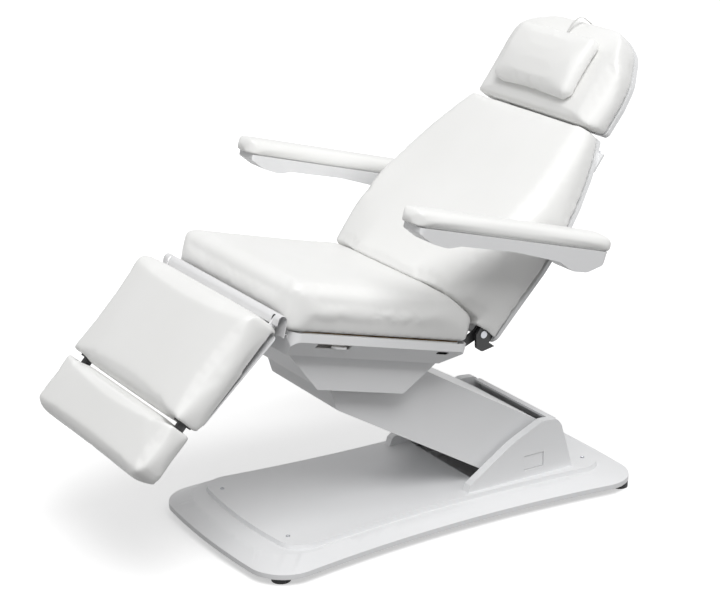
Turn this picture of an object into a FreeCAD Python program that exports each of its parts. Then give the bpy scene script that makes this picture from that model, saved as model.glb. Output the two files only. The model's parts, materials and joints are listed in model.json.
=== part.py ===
import FreeCAD, Part
import math
import os
from FreeCAD import Placement, Rotation, Vector

# A motorised podiatry chair in millimetres. X runs across it, +X is the sitter's left.
# The chair faces -Y, +Z is up and the floor is Z = 0. Each tilted section is drawn in a flat
# frame of its own and then turned about X into place. Everything is drawn from the middle of
# the four feet, and saving moves it so that the origin is under the middle of the whole chair.

# Clearances and common stock
RUN_GAP = 0.05           # radial play of a turning or sliding fit
SEAT_GAP = 0.3           # gap between two pieces that rest on each other
SOFT_GAP = 1.5           # gap between upholstery on two sections
OVERRUN = 5.0            # how far a cutting tool runs past the face it cuts
PLATE = 6.0              # steel plate
SHEET = 2.0              # bent sheet
SHELL = 4.0              # moulded cover wall
BOARD = 12.0             # plywood under upholstery

CHAIR_MIDDLE_Y = -165.0  # middle of the overall length, from the middle of the feet

# Base
FOOT_HALF_X = 257.0
FOOT_HALF_Y = 546.5
FOOT_RADIUS = 25.0
FOOT_HEIGHT = 16.0
STUD_RADIUS = 5.0
STUD_SIDES = 6
SCREW_SIDES = 12
BASE_UNDERSIDE = 20.0
BASE_FRONT = 622.0       # distance of the front edge from the origin
BASE_REAR = 604.0
BASE_FRONT_BOW = 24.0
BASE_REAR_BOW = 14.0
BASE_FRONT_HALF = 328.0
BASE_WAIST_HALF = 274.0
BASE_REAR_HALF = 318.0
BASE_WAIST_Y = -40.0
BASE_CORNER = 105.0
SKIRT_HEIGHT = 14.0
SHOULDER_Z = 60.0
SHOULDER_INSET = 46.0
PANEL_FRONT = 527.0
PANEL_REAR = 522.0
PANEL_FRONT_HALF = 258.0
PANEL_WAIST_HALF = 222.0
PANEL_REAR_HALF = 248.0
PANEL_HEIGHT = 12.0
PANEL_CORNER = 68.0
PANEL_TOP_INSET = 3.0
SCREW_RADIUS = 6.0
SCREW_HEAD = 1.5
SCREW_HALF_X = 176.0
SCREW_HALF_Y = 478.0
RAIL_X = 199.0
RAIL_WIDTH = 40.0
RAIL_HEIGHT = 23.0
CROSS_WIDTH = 40.0
SADDLE_HEIGHT = 18.0

# Hood over the lift pivots
HOOD_HALF = 205.0
HOOD_WALL = 25.0
HOOD_FRONT_Y = 66.0
HOOD_REAR_Y = 419.0
HOOD_TOP_Z = 228.0
HOOD_REAR_TOP_Y = 378.0
HOOD_BACK_WALL = 9.0
WINDOW_FRONT_Y = 252.0
WINDOW_LENGTH = 67.0
WINDOW_LOW_Z = 94.0
WINDOW_HEIGHT = 43.0
WINDOW_DEPTH = 5.0
WINDOW_GAP = 1.5
HOOD_LIP = 20.0
HOOD_LIP_DEPTH = 6.5
WELL_HALF = 178.0        # opening in the base top that the arm sinks into
WELL_FRONT_Y = 132.0
WELL_REAR_Y = 396.0

# Lift arm and its parallel link
ARM_Y = 315.0
ARM_Z = 125.0
ARM_DEG = 30.5
ARM_LENGTH = 660.0
ARM_HALF = 165.0
ARM_TOP = 82.0
ARM_BOTTOM = 102.0
ARM_TUBE_X = 120.0
ARM_TUBE_WIDTH = 40.0
ARM_TUBE_HEIGHT = 60.0
ARM_EYE_RADIUS = 34.0
ARM_SHAFT_RADIUS = 15.0
LINK_Y = 20.0            # link pivots relative to the arm pivots
LINK_Z = 55.0
LINK_WIDTH = 24.0
LINK_EYE_RADIUS = 16.0
LINK_SHAFT_RADIUS = 9.0
PIVOT_PLATE = 8.0
PIVOT_PLATE_X = 150.0

# Carrier on the front end of the arm
CARRIER_X = 86.0
CARRIER_PLATE = 10.0
CARRIER_EYE_RADIUS = 24.0
TILT_SHAFT_RADIUS = 12.0
TILT_Y = -40.0           # tilt axis in the seat's frame
TILT_Z = -44.0

# Seat, drawn level: y runs to the rear, z is up, and z = 0 is the pan's top edge
SEAT_AHEAD = 7.325        # the frame's origin from the arm's front pivot
SEAT_RISE = 142.625
SEAT_DEG = 14.0
SEAT_HALF = 305.0
SEAT_FRONT = 300.0
SEAT_REAR = 277.0
SEAT_HEIGHT = 124.0
PAN_HALF = 295.0
PAN_FRONT = 269.0
PAN_REAR = 268.0
PAN_BAND = 21.0
PAN_DEPTH = 64.0
PAN_FLOOR_HALF = 260.0
PAN_FLOOR_FRONT = 256.0
PAN_FLOOR_REAR = 209.0
PAN_OPENING_HALF = 192.0
PAN_OPENING_FRONT = 226.0
PAN_OPENING_REAR = 185.0
HOPPER_HALF = 228.0
HOPPER_FLOOR_HALF = 222.0
HOPPER_FRONT = 238.0
HOPPER_REAR = 232.0
HOPPER_FLOOR_FRONT = 118.0
HOPPER_FLOOR_REAR = 148.0
HOPPER_DEPTH = 96.0
SEAT_TUBE_X = 235.0
SEAT_TUBE = 30.0
RECESS_FRONT = 193.0
RECESS_LENGTH = 100.0
RECESS_HEIGHT = 13.0
RECESS_Z = -29.0
SOCKET_Y = 192.0
SOCKET_LENGTH = 38.0
SOCKET_HEIGHT = 9.0
LEVER_LENGTH = 44.0
LEVER_THICK = 5.0
LEVER_HUB_RADIUS = 8.0
LEVER_PIN_RADIUS = 3.0

# Knee joint in the seat's frame and the leg section behind it
KNEE_Y = -312.0
KNEE_Z = 29.0
KNEE_COVER_RADIUS = 13.5
KNEE_COVER_DROP = 13.0
KNEE_COVER_HALF = 300.0
KNEE_ROD_RADIUS = 5.5
KNUCKLE_RADIUS = 9.5
KNUCKLE_INSET = 28.0     # the leg section's knuckles from its side
LEG_DEG = 47.0           # how far the leg section points down from level
LEG_HALF = 300.0
LEG_START = 21.0
LEG_END = 341.0
LEG_FRONT = 88.0
LEG_BACK_KNEE = 28.0
LEG_BACK_FOOT = 0.0
LEG_WALL = 14.0
GUIDE_INSET = 39.0
GUIDE_Z = 37.0
GUIDE_RADIUS = 17.0
SLIDE_RADIUS = 13.0
SLIDE_TRAVEL = 150.0
FOOT_GAP = 9.0
FOOT_LENGTH = 165.0
FOOT_BACK = 8.0
FOOT_CORNER = 72.0

# Back section, drawn upright about its hinge: -y is the front, z runs up the back
BACK_BEHIND = 314.6      # the hinge from the seat frame's origin
BACK_DROP = 52.4
BACK_DEG = 36.5          # lean from upright
BACK_HALF = 332.0
BACK_LENGTH = 600.0
BACK_BASE = 4.0
BACK_REAR = 40.0
BACK_SHELL = 10.0
BACK_TOP_FRONT = 38.0
BACK_EDGE = 50.0         # radius of the front's long edges
BACK_TOP_EDGE = 12.0
BACK_LOW_FRONT = 203.0
BACK_CROWN_LOW = 30.0
BACK_CAVITY_HALF = 240.0
BACK_CAVITY_DEPTH = 36.0
BACK_TUBE_X = 205.0
BACK_TUBE = 26.0
BACK_PIN_RADIUS = 10.0
BACK_EYE_RADIUS = 20.0
BACK_EYE_X = 274.0
HINGE_PLATE = 8.0

# Headrest, in the back's frame
HEAD_GAP = 6.0
HEAD_HALF = 252.0
HEAD_LENGTH = 284.0
HEAD_FRONT = 41.0
HEAD_PANEL = 12.0
HEAD_HINGE_Y = 46.0
HEAD_HINGE_RADIUS = 6.0
HEAD_ARM_X = 150.0
PILLOW_HALF = 166.0
PILLOW_RISE = 37.0       # above the headrest's lower edge
PILLOW_LENGTH = 186.0
PILLOW_DEPTH = 50.0
STRAP_WIDTH = 8.0
STRAP_THICK = 1.2
HEAD_LEVER_X = 268.0
HEAD_LEVER_Z = 538.0
HEAD_LEVER_LENGTH = 54.0
HEAD_LEVER_WIDTH = 26.0
HEAD_LEVER_HUB = 5.0

# Armrests, drawn level about their pivot: -y is the front
REST_X = 406.0
REST_BEHIND = 174.4      # the pivot from the back's hinge
REST_RISE = 215.8
REST_DEG = 15.25
REST_HALF = 45.0
REST_FRONT = 534.0
REST_REAR = 103.0
REST_SHELL_INSET = 6.0
REST_PAD_LOW = 30.0
REST_PAD_HIGH = 72.0
REST_SHELL_LOW = 0.0
REST_HUB_RADIUS = 30.0
REST_PIN_RADIUS = 9.0

# Places that follow from those above
ARM_FRONT_Y = ARM_Y - ARM_LENGTH * math.cos(math.radians(ARM_DEG))
ARM_FRONT_Z = ARM_Z + ARM_LENGTH * math.sin(math.radians(ARM_DEG))
SEAT_Y = ARM_FRONT_Y - SEAT_AHEAD
SEAT_Z = ARM_FRONT_Z + SEAT_RISE
KNUCKLE_X = LEG_HALF - KNUCKLE_INSET
KNUCKLE_LUG_X = KNUCKLE_X - PLATE * 2
GUIDE_X = LEG_HALF - GUIDE_INSET
BACK_Y = SEAT_Y + BACK_BEHIND
BACK_Z = SEAT_Z - BACK_DROP
REST_Y = BACK_Y + REST_BEHIND
REST_Z = BACK_Z + REST_RISE
PILLOW_BASE = BACK_LENGTH + HEAD_GAP + PILLOW_RISE


def turned(y, z, deg):
    """The point (y, z) turned about X by deg."""
    a = math.radians(deg)
    return y * math.cos(a) - z * math.sin(a), y * math.sin(a) + z * math.cos(a)


def place(shape, y, z, deg):
    """A copy of a shape drawn flat, turned about X and moved to its section's origin."""
    copy = shape.copy()
    turn = Placement(Vector(0, y, z), Rotation(Vector(1, 0, 0), deg))
    copy.Placement = turn.multiply(copy.Placement)
    return copy


def to_seat(shape):
    return place(shape, SEAT_Y, SEAT_Z, -SEAT_DEG)


def to_arm(shape):
    return place(shape, ARM_Y, ARM_Z, -ARM_DEG)


def to_back(shape):
    return place(shape, BACK_Y, BACK_Z, -BACK_DEG)


def knee_point():
    y, z = turned(KNEE_Y, KNEE_Z, -SEAT_DEG)
    return SEAT_Y + y, SEAT_Z + z


def to_leg(shape):
    y, z = knee_point()
    return place(shape, y, z, LEG_DEG)


def to_rest(shape):
    return place(shape, REST_Y, REST_Z, -REST_DEG)


def arm_front_point():
    return ARM_FRONT_Y, ARM_FRONT_Z


def seat_to_world(y, z):
    a, b = turned(y, z, -SEAT_DEG)
    return SEAT_Y + a, SEAT_Z + b


def world_to_back(y, z):
    return turned(y - BACK_Y, z - BACK_Z, BACK_DEG)


def world_to_seat(y, z):
    return turned(y - SEAT_Y, z - SEAT_Z, SEAT_DEG)


def rounded_wire(points, to_space):
    """A closed wire through (a, b, radius) corners, each rounded by its radius."""
    tangents = []
    count = len(points)
    for i in range(count):
        a, b, radius = points[i]
        pa, pb = points[i - 1][0] - a, points[i - 1][1] - b
        na, nb = points[(i + 1) % count][0] - a, points[(i + 1) % count][1] - b
        before, after = math.hypot(pa, pb), math.hypot(na, nb)
        pa, pb, na, nb = pa / before, pb / before, na / after, nb / after
        half = math.acos(max(-1.0, min(1.0, pa * na + pb * nb))) / 2
        reach = min(radius / math.tan(half), 0.49 * before, 0.49 * after) if radius else 0
        if not reach:
            tangents.append(((a, b), None, (a, b)))
            continue
        fit = reach * math.tan(half)
        ma, mb = pa + na, pb + nb
        size = math.hypot(ma, mb)
        deep = fit / math.sin(half) - fit
        middle = (a + ma / size * deep, b + mb / size * deep)
        tangents.append(((a + pa * reach, b + pb * reach), middle, (a + na * reach, b + nb * reach)))
    edges = []
    for i in range(count):
        start, middle, end = tangents[i]
        if middle:
            edges.append(Part.Arc(to_space(*start), to_space(*middle), to_space(*end)).toShape())
        following = tangents[(i + 1) % count][0]
        edges.append(Part.makeLine(to_space(*end), to_space(*following)))
    return Part.Wire(edges)


def with_radius(points, radius):
    return [(a, b, radius) for a, b in points]


def mirrored(points):
    """A half outline given from one end to the other at +X, closed by its mirror image."""
    return points + [(-a, b, r) for a, b, r in reversed(points)]


def across(points, x0, x1):
    """A (y, z, radius) outline drawn out along X."""
    wire = rounded_wire(points, lambda y, z: Vector(x0, y, z))
    return Part.Face(wire).extrude(Vector(x1 - x0, 0, 0))


def lengthwise(points, y0, y1):
    """An (x, z, radius) outline drawn out along Y."""
    wire = rounded_wire(points, lambda x, z: Vector(x, y0, z))
    return Part.Face(wire).extrude(Vector(0, y1 - y0, 0))


def upright(points, z0, z1):
    """An (x, y, radius) outline drawn out along Z."""
    wire = rounded_wire(points, lambda x, y: Vector(x, y, z0))
    return Part.Face(wire).extrude(Vector(0, 0, z1 - z0))


def box(x0, x1, y0, y1, z0, z1):
    return Part.makeBox(x1 - x0, y1 - y0, z1 - z0, Vector(x0, y0, z0))


def rod_x(radius, x0, x1, y, z):
    return Part.makeCylinder(radius, x1 - x0, Vector(x0, y, z), Vector(1, 0, 0))


def rod_y(radius, y0, y1, x, z):
    return Part.makeCylinder(radius, y1 - y0, Vector(x, y0, z), Vector(0, 1, 0))


def rod_z(radius, z0, z1, x, y):
    return Part.makeCylinder(radius, z1 - z0, Vector(x, y, z0), Vector(0, 0, 1))


def prism_z(sides, radius, z0, z1, x, y):
    """An upright bar with flat sides, such as a hexagon spacer."""
    step = 2 * math.pi / sides
    turns = [i * step for i in range(sides)]
    corners = [Vector(x + radius * math.cos(a), y + radius * math.sin(a), z0) for a in turns]
    return Part.Face(Part.makePolygon(corners + corners[:1])).extrude(Vector(0, 0, z1 - z0))


def fused(shapes):
    whole = shapes[0]
    for shape in shapes[1:]:
        whole = whole.fuse(shape)
    return whole.removeSplitter()


def cut_all(shape, tools):
    for tool in tools:
        shape = shape.cut(tool)
    return shape


def save(name, shape):
    shape = shape.copy()
    shape.translate(Vector(0, -CHAIR_MIDDLE_Y, 0))
    solids = shape.Solids
    whole = solids[0] if len(solids) == 1 else Part.makeCompound(solids)
    if not whole.isValid():
        print("NOT VALID", name)
    whole.exportStep(os.path.join("parts", name + ".step"))
    print(name, len(solids), round(sum(s.Volume for s in solids)))


# Base


def waisted_outline(ends, halves, bows, corner):
    """A waisted outline at Z = 0 from its front and rear ends, its three half widths and its bows."""
    front, rear = ends[0] - bows[0], ends[1] - bows[1]
    front_half, waist, rear_half = halves
    edges = [
        Part.Arc(Vector(-front_half, -front, 0), Vector(0, -ends[0], 0), Vector(front_half, -front, 0)),
        Part.Arc(Vector(front_half, -front, 0), Vector(waist, BASE_WAIST_Y, 0), Vector(rear_half, rear, 0)),
        Part.Arc(Vector(rear_half, rear, 0), Vector(0, ends[1], 0), Vector(-rear_half, rear, 0)),
        Part.Arc(Vector(-rear_half, rear, 0), Vector(-waist, BASE_WAIST_Y, 0), Vector(-front_half, -front, 0)),
    ]
    slab = Part.Face(Part.Wire([e.toShape() for e in edges])).extrude(Vector(0, 0, BASE_UNDERSIDE))
    posts = [e for e in slab.Edges if abs(e.tangentAt(e.FirstParameter).z) > 1 / 2]
    slab = slab.makeFillet(corner, posts)
    low = min(slab.Faces, key=lambda f: f.CenterOfMass.z)
    return low.OuterWire


def base_outline(inset, corner):
    """The outline of the base, set in by an amount."""
    ends = (BASE_FRONT - inset, BASE_REAR - inset)
    halves = (BASE_FRONT_HALF - inset, BASE_WAIST_HALF - inset, BASE_REAR_HALF - inset)
    return waisted_outline(ends, halves, (BASE_FRONT_BOW, BASE_REAR_BOW), corner)


def panel_outline(inset):
    ends = (PANEL_FRONT - inset, PANEL_REAR - inset)
    halves = (PANEL_FRONT_HALF - inset, PANEL_WAIST_HALF - inset, PANEL_REAR_HALF - inset)
    return waisted_outline(ends, halves, (BASE_FRONT_BOW, BASE_REAR_BOW), PANEL_CORNER)


def at_height(wire, z):
    wire.translate(Vector(0, 0, z - wire.BoundBox.ZMin))
    return wire


def slab_at(wire, low, high):
    """A flat outline drawn out from one height to another."""
    return Part.Face(at_height(wire, low)).extrude(Vector(0, 0, high - low))


def base_form():
    """The base's outer form: an upright skirt, a sloped flank and a flat top."""
    skirt = BASE_UNDERSIDE + SKIRT_HEIGHT
    lower = slab_at(base_outline(0, BASE_CORNER), BASE_UNDERSIDE, skirt)
    wires = [
        at_height(base_outline(0, BASE_CORNER), skirt),
        at_height(base_outline(SHOULDER_INSET, BASE_CORNER), SHOULDER_Z),
    ]
    return lower.fuse(Part.makeLoft(wires, True, True))


def well():
    return box(-WELL_HALF, WELL_HALF, WELL_FRONT_Y, WELL_REAR_Y, 0, HOOD_TOP_Z)


def base_cover():
    skirt = BASE_UNDERSIDE + SKIRT_HEIGHT
    thick = SHOULDER_INSET + SHELL
    low_room = slab_at(base_outline(SHELL, BASE_CORNER - SHELL), BASE_UNDERSIDE - OVERRUN, skirt - SHEET)
    high_room = slab_at(base_outline(thick, BASE_CORNER), BASE_UNDERSIDE, SHOULDER_Z - SHELL)
    return cut_all(base_form(), [low_room, high_room, well()])


def base_top_panel():
    high = SHOULDER_Z + PANEL_HEIGHT
    wires = [at_height(panel_outline(0), SHOULDER_Z), at_height(panel_outline(PANEL_TOP_INSET), high)]
    return Part.makeLoft(wires, True, True).cut(well())


def base_tray():
    """The sheet under the well that closes the base's underside below the arm."""
    half = RAIL_X - RAIL_WIDTH / 2
    reach = CROSS_WIDTH / 2
    front, rear = WELL_FRONT_Y - reach, WELL_REAR_Y + reach
    return box(-half, half, front, rear, BASE_UNDERSIDE, BASE_UNDERSIDE + SHEET)


def panel_screws():
    high = SHOULDER_Z + PANEL_HEIGHT
    screws = []
    for x in (-SCREW_HALF_X, SCREW_HALF_X):
        for y in (-SCREW_HALF_Y, SCREW_HALF_Y):
            screws.append(prism_z(SCREW_SIDES, SCREW_RADIUS, high, high + SCREW_HEAD, x, y))
    return Part.makeCompound(screws)


def base_frame():
    """Two hollow rails, cross members, pads over the feet and saddles under the pivot plates."""
    low = BASE_UNDERSIDE + SHEET
    high = low + RAIL_HEIGHT
    half = RAIL_WIDTH / 2
    end = FOOT_HALF_Y - CROSS_WIDTH
    saddle = low + SADDLE_HEIGHT
    inner = PIVOT_PLATE_X - PIVOT_PLATE * 2
    outer = PIVOT_PLATE_X + PIVOT_PLATE / 2
    pieces = []
    for side in (-1, 1):
        x0, x1 = sorted((side * (RAIL_X - half), side * (RAIL_X + half)))
        rail = box(x0, x1, -end, end, low, high)
        hollow = box(x0 + SHEET, x1 - SHEET, -end - OVERRUN, end + OVERRUN, low + SHEET, high - SHEET)
        pieces.append(rail.cut(hollow))
        x0, x1 = sorted((side * (RAIL_X - half), side * (FOOT_HALF_X + FOOT_RADIUS / 2)))
        for way in (-1, 1):
            y0, y1 = sorted((way * (end - CROSS_WIDTH), way * (FOOT_HALF_Y + FOOT_RADIUS / 2)))
            pieces.append(box(x0, x1, y0, y1, low, low + SHEET))
            # posts on the rails' ends carry the cover
            x, y = side * RAIL_X, way * (end - CROSS_WIDTH / 2)
            pieces.append(box(x - half / 2, x + half / 2, y - half / 2, y + half / 2, high - SHEET, SHOULDER_Z - SHELL))
        x0, x1 = sorted((side * inner, side * outer))
        pieces.append(box(x0, x1, WELL_FRONT_Y, WELL_REAR_Y, low, saddle))
    reach = RAIL_X - half
    for y in (-end, BASE_WAIST_Y - WELL_FRONT_Y, end - CROSS_WIDTH):
        pieces.append(box(-reach, reach, y, y + CROSS_WIDTH, low, low + RAIL_HEIGHT - SHEET))
    for y in (WELL_FRONT_Y, WELL_REAR_Y):
        pieces.append(box(-reach, reach, y - CROSS_WIDTH / 2, y + CROSS_WIDTH / 2, low, saddle))
    return fused(pieces)


def levelling_feet():
    feet = []
    for x in (-FOOT_HALF_X, FOOT_HALF_X):
        for y in (-FOOT_HALF_Y, FOOT_HALF_Y):
            feet.append(rod_z(FOOT_RADIUS, 0, FOOT_HEIGHT, x, y))
    return Part.makeCompound(feet)


def foot_studs():
    """Hexagon spacers between the rubber feet and the frame."""
    studs = []
    for x in (-FOOT_HALF_X, FOOT_HALF_X):
        for y in (-FOOT_HALF_Y, FOOT_HALF_Y):
            studs.append(prism_z(STUD_SIDES, STUD_RADIUS * 2, FOOT_HEIGHT, BASE_UNDERSIDE + SHEET, x, y))
    return Part.makeCompound(studs)


def hood_profile(inset):
    """The cheek's side outline: a nose that rises to a rounded top and a leaning rear edge."""
    low = SHOULDER_Z + PANEL_HEIGHT
    length = HOOD_REAR_Y - HOOD_FRONT_Y
    height = HOOD_TOP_Z - low
    shares = ((0.0, 0.0, 0.0), (0.02, 0.13, 0.03), (0.42, 0.72, 0.9), (0.7, 1.0, 0.11), (0.84, 0.97, 0.07))
    points = [(HOOD_FRONT_Y + inset + length * a, low + height * b - inset, length * r) for a, b, r in shares]
    points[0] = (HOOD_FRONT_Y + inset, low, 0)
    points.append((HOOD_REAR_TOP_Y - inset, low + height * 0.84 - inset, length * 0.05))
    points.append((HOOD_REAR_Y - inset, low, 0))
    return points


def hood():
    low = SHOULDER_Z + PANEL_HEIGHT
    block = across(hood_profile(0), -HOOD_HALF, HOOD_HALF)
    cheek_in = HOOD_HALF - HOOD_WALL
    lean = (HOOD_REAR_Y - HOOD_REAR_TOP_Y) / (HOOD_TOP_Z - low)
    inner = across(
        [
            (HOOD_FRONT_Y - OVERRUN, low - OVERRUN, 0),
            (HOOD_FRONT_Y - OVERRUN, HOOD_TOP_Z + OVERRUN, 0),
            (HOOD_REAR_TOP_Y - HOOD_BACK_WALL - lean * OVERRUN, HOOD_TOP_Z + OVERRUN, 0),
            (HOOD_REAR_Y - HOOD_BACK_WALL + lean * OVERRUN, low - OVERRUN, 0),
        ],
        -cheek_in,
        cheek_in,
    )
    block = block.cut(inner)
    # the rear wall between the cheeks stops below their tops and ends in a lip over the arm
    rim_z = HOOD_TOP_Z - HOOD_WALL / 2
    block = block.cut(box(-cheek_in, cheek_in, HOOD_FRONT_Y, HOOD_REAR_Y, rim_z, HOOD_TOP_Z + OVERRUN))
    lip_y = HOOD_REAR_TOP_Y - HOOD_LIP
    lip = box(-cheek_in, cheek_in, lip_y, HOOD_REAR_TOP_Y - SHEET, rim_z - HOOD_LIP_DEPTH, rim_z)
    block = block.fuse(lip).removeSplitter()
    for side in (-1, 1):
        x0, x1 = sorted((side * (HOOD_HALF - WINDOW_DEPTH), side * (HOOD_HALF + OVERRUN)))
        y0, z0 = WINDOW_FRONT_Y, WINDOW_LOW_Z
        block = block.cut(box(x0, x1, y0, y0 + WINDOW_LENGTH, z0, z0 + WINDOW_HEIGHT))
    inlet_x, inlet_z, inlet_half = inlet_place()
    return block.cut(
        box(
            inlet_x - inlet_half,
            inlet_x + inlet_half,
            HOOD_REAR_TOP_Y - HOOD_BACK_WALL,
            HOOD_REAR_Y + OVERRUN,
            inlet_z - inlet_half * 0.6,
            inlet_z + inlet_half * 0.6,
        )
    )


def hood_plates():
    gap = WINDOW_GAP
    plates = []
    for side in (-1, 1):
        x0, x1 = sorted((side * (HOOD_HALF - WINDOW_DEPTH), side * (HOOD_HALF - WINDOW_DEPTH / 2)))
        plates.append(
            box(
                x0,
                x1,
                WINDOW_FRONT_Y + gap,
                WINDOW_FRONT_Y + WINDOW_LENGTH - gap,
                WINDOW_LOW_Z + gap,
                WINDOW_LOW_Z + WINDOW_HEIGHT - gap,
            )
        )
    return Part.makeCompound(plates)


def inlet_place():
    low = SHOULDER_Z + PANEL_HEIGHT
    return HOOD_HALF * 0.62, low + HOOD_WALL * 1.4, HOOD_WALL


def mains_inlet():
    """The socket for a mains lead in the hood's rear wall."""
    x, z, half = inlet_place()
    tall = half * 0.6
    gap = SEAT_GAP
    lean = (HOOD_REAR_Y - HOOD_REAR_TOP_Y) / (HOOD_TOP_Z - SHOULDER_Z - PANEL_HEIGHT)
    face = HOOD_REAR_Y - lean * (z - SHOULDER_Z - PANEL_HEIGHT)
    body = box(x - half + gap, x + half - gap, face - half, face + SHEET, z - tall + gap, z + tall - gap)
    wide = half * 0.7
    body = body.cut(box(x - wide, x + wide, face - wide, face + OVERRUN, z - tall * 0.6, z + tall * 0.6))
    thin, high = gap * 3, gap * 6
    pins = []
    for middle in (x - half * 0.4, x, x + half * 0.4):
        pins.append(box(middle - thin, middle + thin, face - half, face - half * 0.2, z - high, z + high))
    return fused([body] + pins)


def pivot_plates():
    low = BASE_UNDERSIDE + SHEET + SADDLE_HEIGHT
    radius = ARM_EYE_RADIUS - PLATE
    top = radius * 0.6
    outline = [
        (ARM_Y - ARM_EYE_RADIUS * 1.8, low, 0),
        (ARM_Y - radius, ARM_Z, radius),
        (ARM_Y + LINK_Y - top, ARM_Z + LINK_Z + top, top),
        (ARM_Y + LINK_Y + top, ARM_Z + LINK_Z + top, top),
        (ARM_Y + radius * 1.7, ARM_Z, radius),
        (WELL_REAR_Y - PLATE, low, 0),
    ]
    half = PIVOT_PLATE / 2
    plates = [across(outline, x - half, x + half) for x in (-PIVOT_PLATE_X, PIVOT_PLATE_X)]
    return Part.makeCompound(plates)


def main_pivot_shaft():
    reach = PIVOT_PLATE_X - PIVOT_PLATE / 2
    return rod_x(ARM_SHAFT_RADIUS, -reach, reach, ARM_Y, ARM_Z)


def link_pivot_shaft():
    reach = PIVOT_PLATE_X - PIVOT_PLATE / 2
    return rod_x(LINK_SHAFT_RADIUS, -reach, reach, ARM_Y + LINK_Y, ARM_Z + LINK_Z)


def control_box():
    """The motor controller, screwed to the frame under the base's front half."""
    low = BASE_UNDERSIDE + SHEET
    back = BASE_WAIST_Y - WELL_FRONT_Y - SEAT_GAP
    half = RAIL_X - RAIL_WIDTH
    return box(-half / 2, half / 2, back - half, back, low, low + RAIL_HEIGHT)


# Lift arm


def arm_profile(inset):
    """The shroud's side outline, in the arm's frame: open under the seat, a nose at its front."""
    top_end = ARM_LENGTH * 0.8
    return [
        (-ARM_TOP * 0.25, ARM_TOP - inset, 0),
        (-top_end, ARM_TOP - inset, 0),
        (-ARM_LENGTH - ARM_BOTTOM * 0.62 + inset, ARM_TOP * 0.02, ARM_BOTTOM * 0.2),
        (-ARM_LENGTH - ARM_BOTTOM * 0.62 + inset, -ARM_BOTTOM * 0.62, ARM_BOTTOM * 0.2),
        (-ARM_LENGTH - ARM_BOTTOM * 0.2 + inset / 2, -ARM_BOTTOM + inset, ARM_BOTTOM * 0.2),
        (-ARM_BOTTOM * 0.6, -ARM_BOTTOM + inset, 0),
        (ARM_TOP * 0.3, -ARM_BOTTOM * 0.5, ARM_TOP * 0.3),
        (ARM_TOP * 0.5, 0, ARM_TOP * 0.3),
        (ARM_TOP * 0.3, ARM_TOP * 0.62, ARM_TOP * 0.3),
    ]


def arm_shroud():
    outer = across(arm_profile(0), -ARM_HALF, ARM_HALF)
    inside = ARM_HALF - SHELL
    top_end = ARM_LENGTH * 0.8
    hollow = across(
        [
            (ARM_TOP, ARM_TOP - SHELL, 0),
            (-top_end - OVERRUN, ARM_TOP - SHELL, 0),
            (-top_end - OVERRUN, ARM_TOP + OVERRUN, 0),
            (-ARM_LENGTH - ARM_BOTTOM * 0.62 + SHELL, ARM_TOP + OVERRUN, 0),
            (-ARM_LENGTH - ARM_BOTTOM * 0.62 + SHELL, -ARM_BOTTOM * 0.62, ARM_BOTTOM * 0.18),
            (-ARM_LENGTH - ARM_BOTTOM * 0.2 + SHELL, -ARM_BOTTOM + SHELL, ARM_BOTTOM * 0.18),
            (-ARM_BOTTOM * 0.6, -ARM_BOTTOM + SHELL, 0),
            (-ARM_BOTTOM * 0.6, -ARM_BOTTOM - OVERRUN, 0),
            (ARM_TOP, -ARM_BOTTOM - OVERRUN, 0),
        ],
        -inside,
        inside,
    )
    # the front wall is notched for the carrier, which swings down past it as the arm rises
    wide = CARRIER_X + CARRIER_PLATE
    notch = box(-wide, wide, -ARM_LENGTH - ARM_BOTTOM, -ARM_LENGTH, -ARM_BOTTOM * 0.5, ARM_TOP)
    return to_arm(outer.cut(hollow).cut(notch))


def arm_frame():
    """Two box tubes with a bearing eye at each end, tied by two cross tubes that carry the shroud."""
    half = ARM_TUBE_WIDTH / 2
    tall = ARM_TUBE_HEIGHT / 2
    bore = ARM_SHAFT_RADIUS + RUN_GAP
    pieces = []
    for side in (-1, 1):
        x0, x1 = side * ARM_TUBE_X - half, side * ARM_TUBE_X + half
        tube = box(x0, x1, -ARM_LENGTH - tall, tall, -tall, tall)
        inside = (-ARM_LENGTH + ARM_EYE_RADIUS, -ARM_EYE_RADIUS, -tall + SHELL, tall - SHELL)
        pieces.append(tube.cut(box(x0 + SHELL, x1 - SHELL, *inside)))
    reach = ARM_HALF - SHELL
    for share in (0.22, 0.8):
        y = -ARM_LENGTH * share
        pieces.append(box(-reach, reach, y - half, y + half, -half, half))
    frame = fused(pieces)
    for side in (-1, 1):
        x0, x1 = side * ARM_TUBE_X - half, side * ARM_TUBE_X + half
        frame = frame.cut(rod_x(bore, x0 - OVERRUN, x1 + OVERRUN, 0, 0))
        frame = frame.cut(rod_x(bore, x0 - OVERRUN, x1 + OVERRUN, -ARM_LENGTH, 0))
    return to_arm(frame)


def parallel_link():
    """The bar above the arm that keeps the seat's angle as the arm turns."""
    half = LINK_WIDTH / 2
    r = LINK_EYE_RADIUS
    outline = with_radius([(r, -r), (r, r), (-ARM_LENGTH - r, r), (-ARM_LENGTH - r, -r)], r * 0.97)
    bar = across(outline, -half, half)
    for y in (0, -ARM_LENGTH):
        bar = bar.cut(rod_x(LINK_SHAFT_RADIUS + RUN_GAP, -half - OVERRUN, half + OVERRUN, y, 0))
    return place(bar, ARM_Y + LINK_Y, ARM_Z + LINK_Z, -ARM_DEG)


# Carrier


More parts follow.
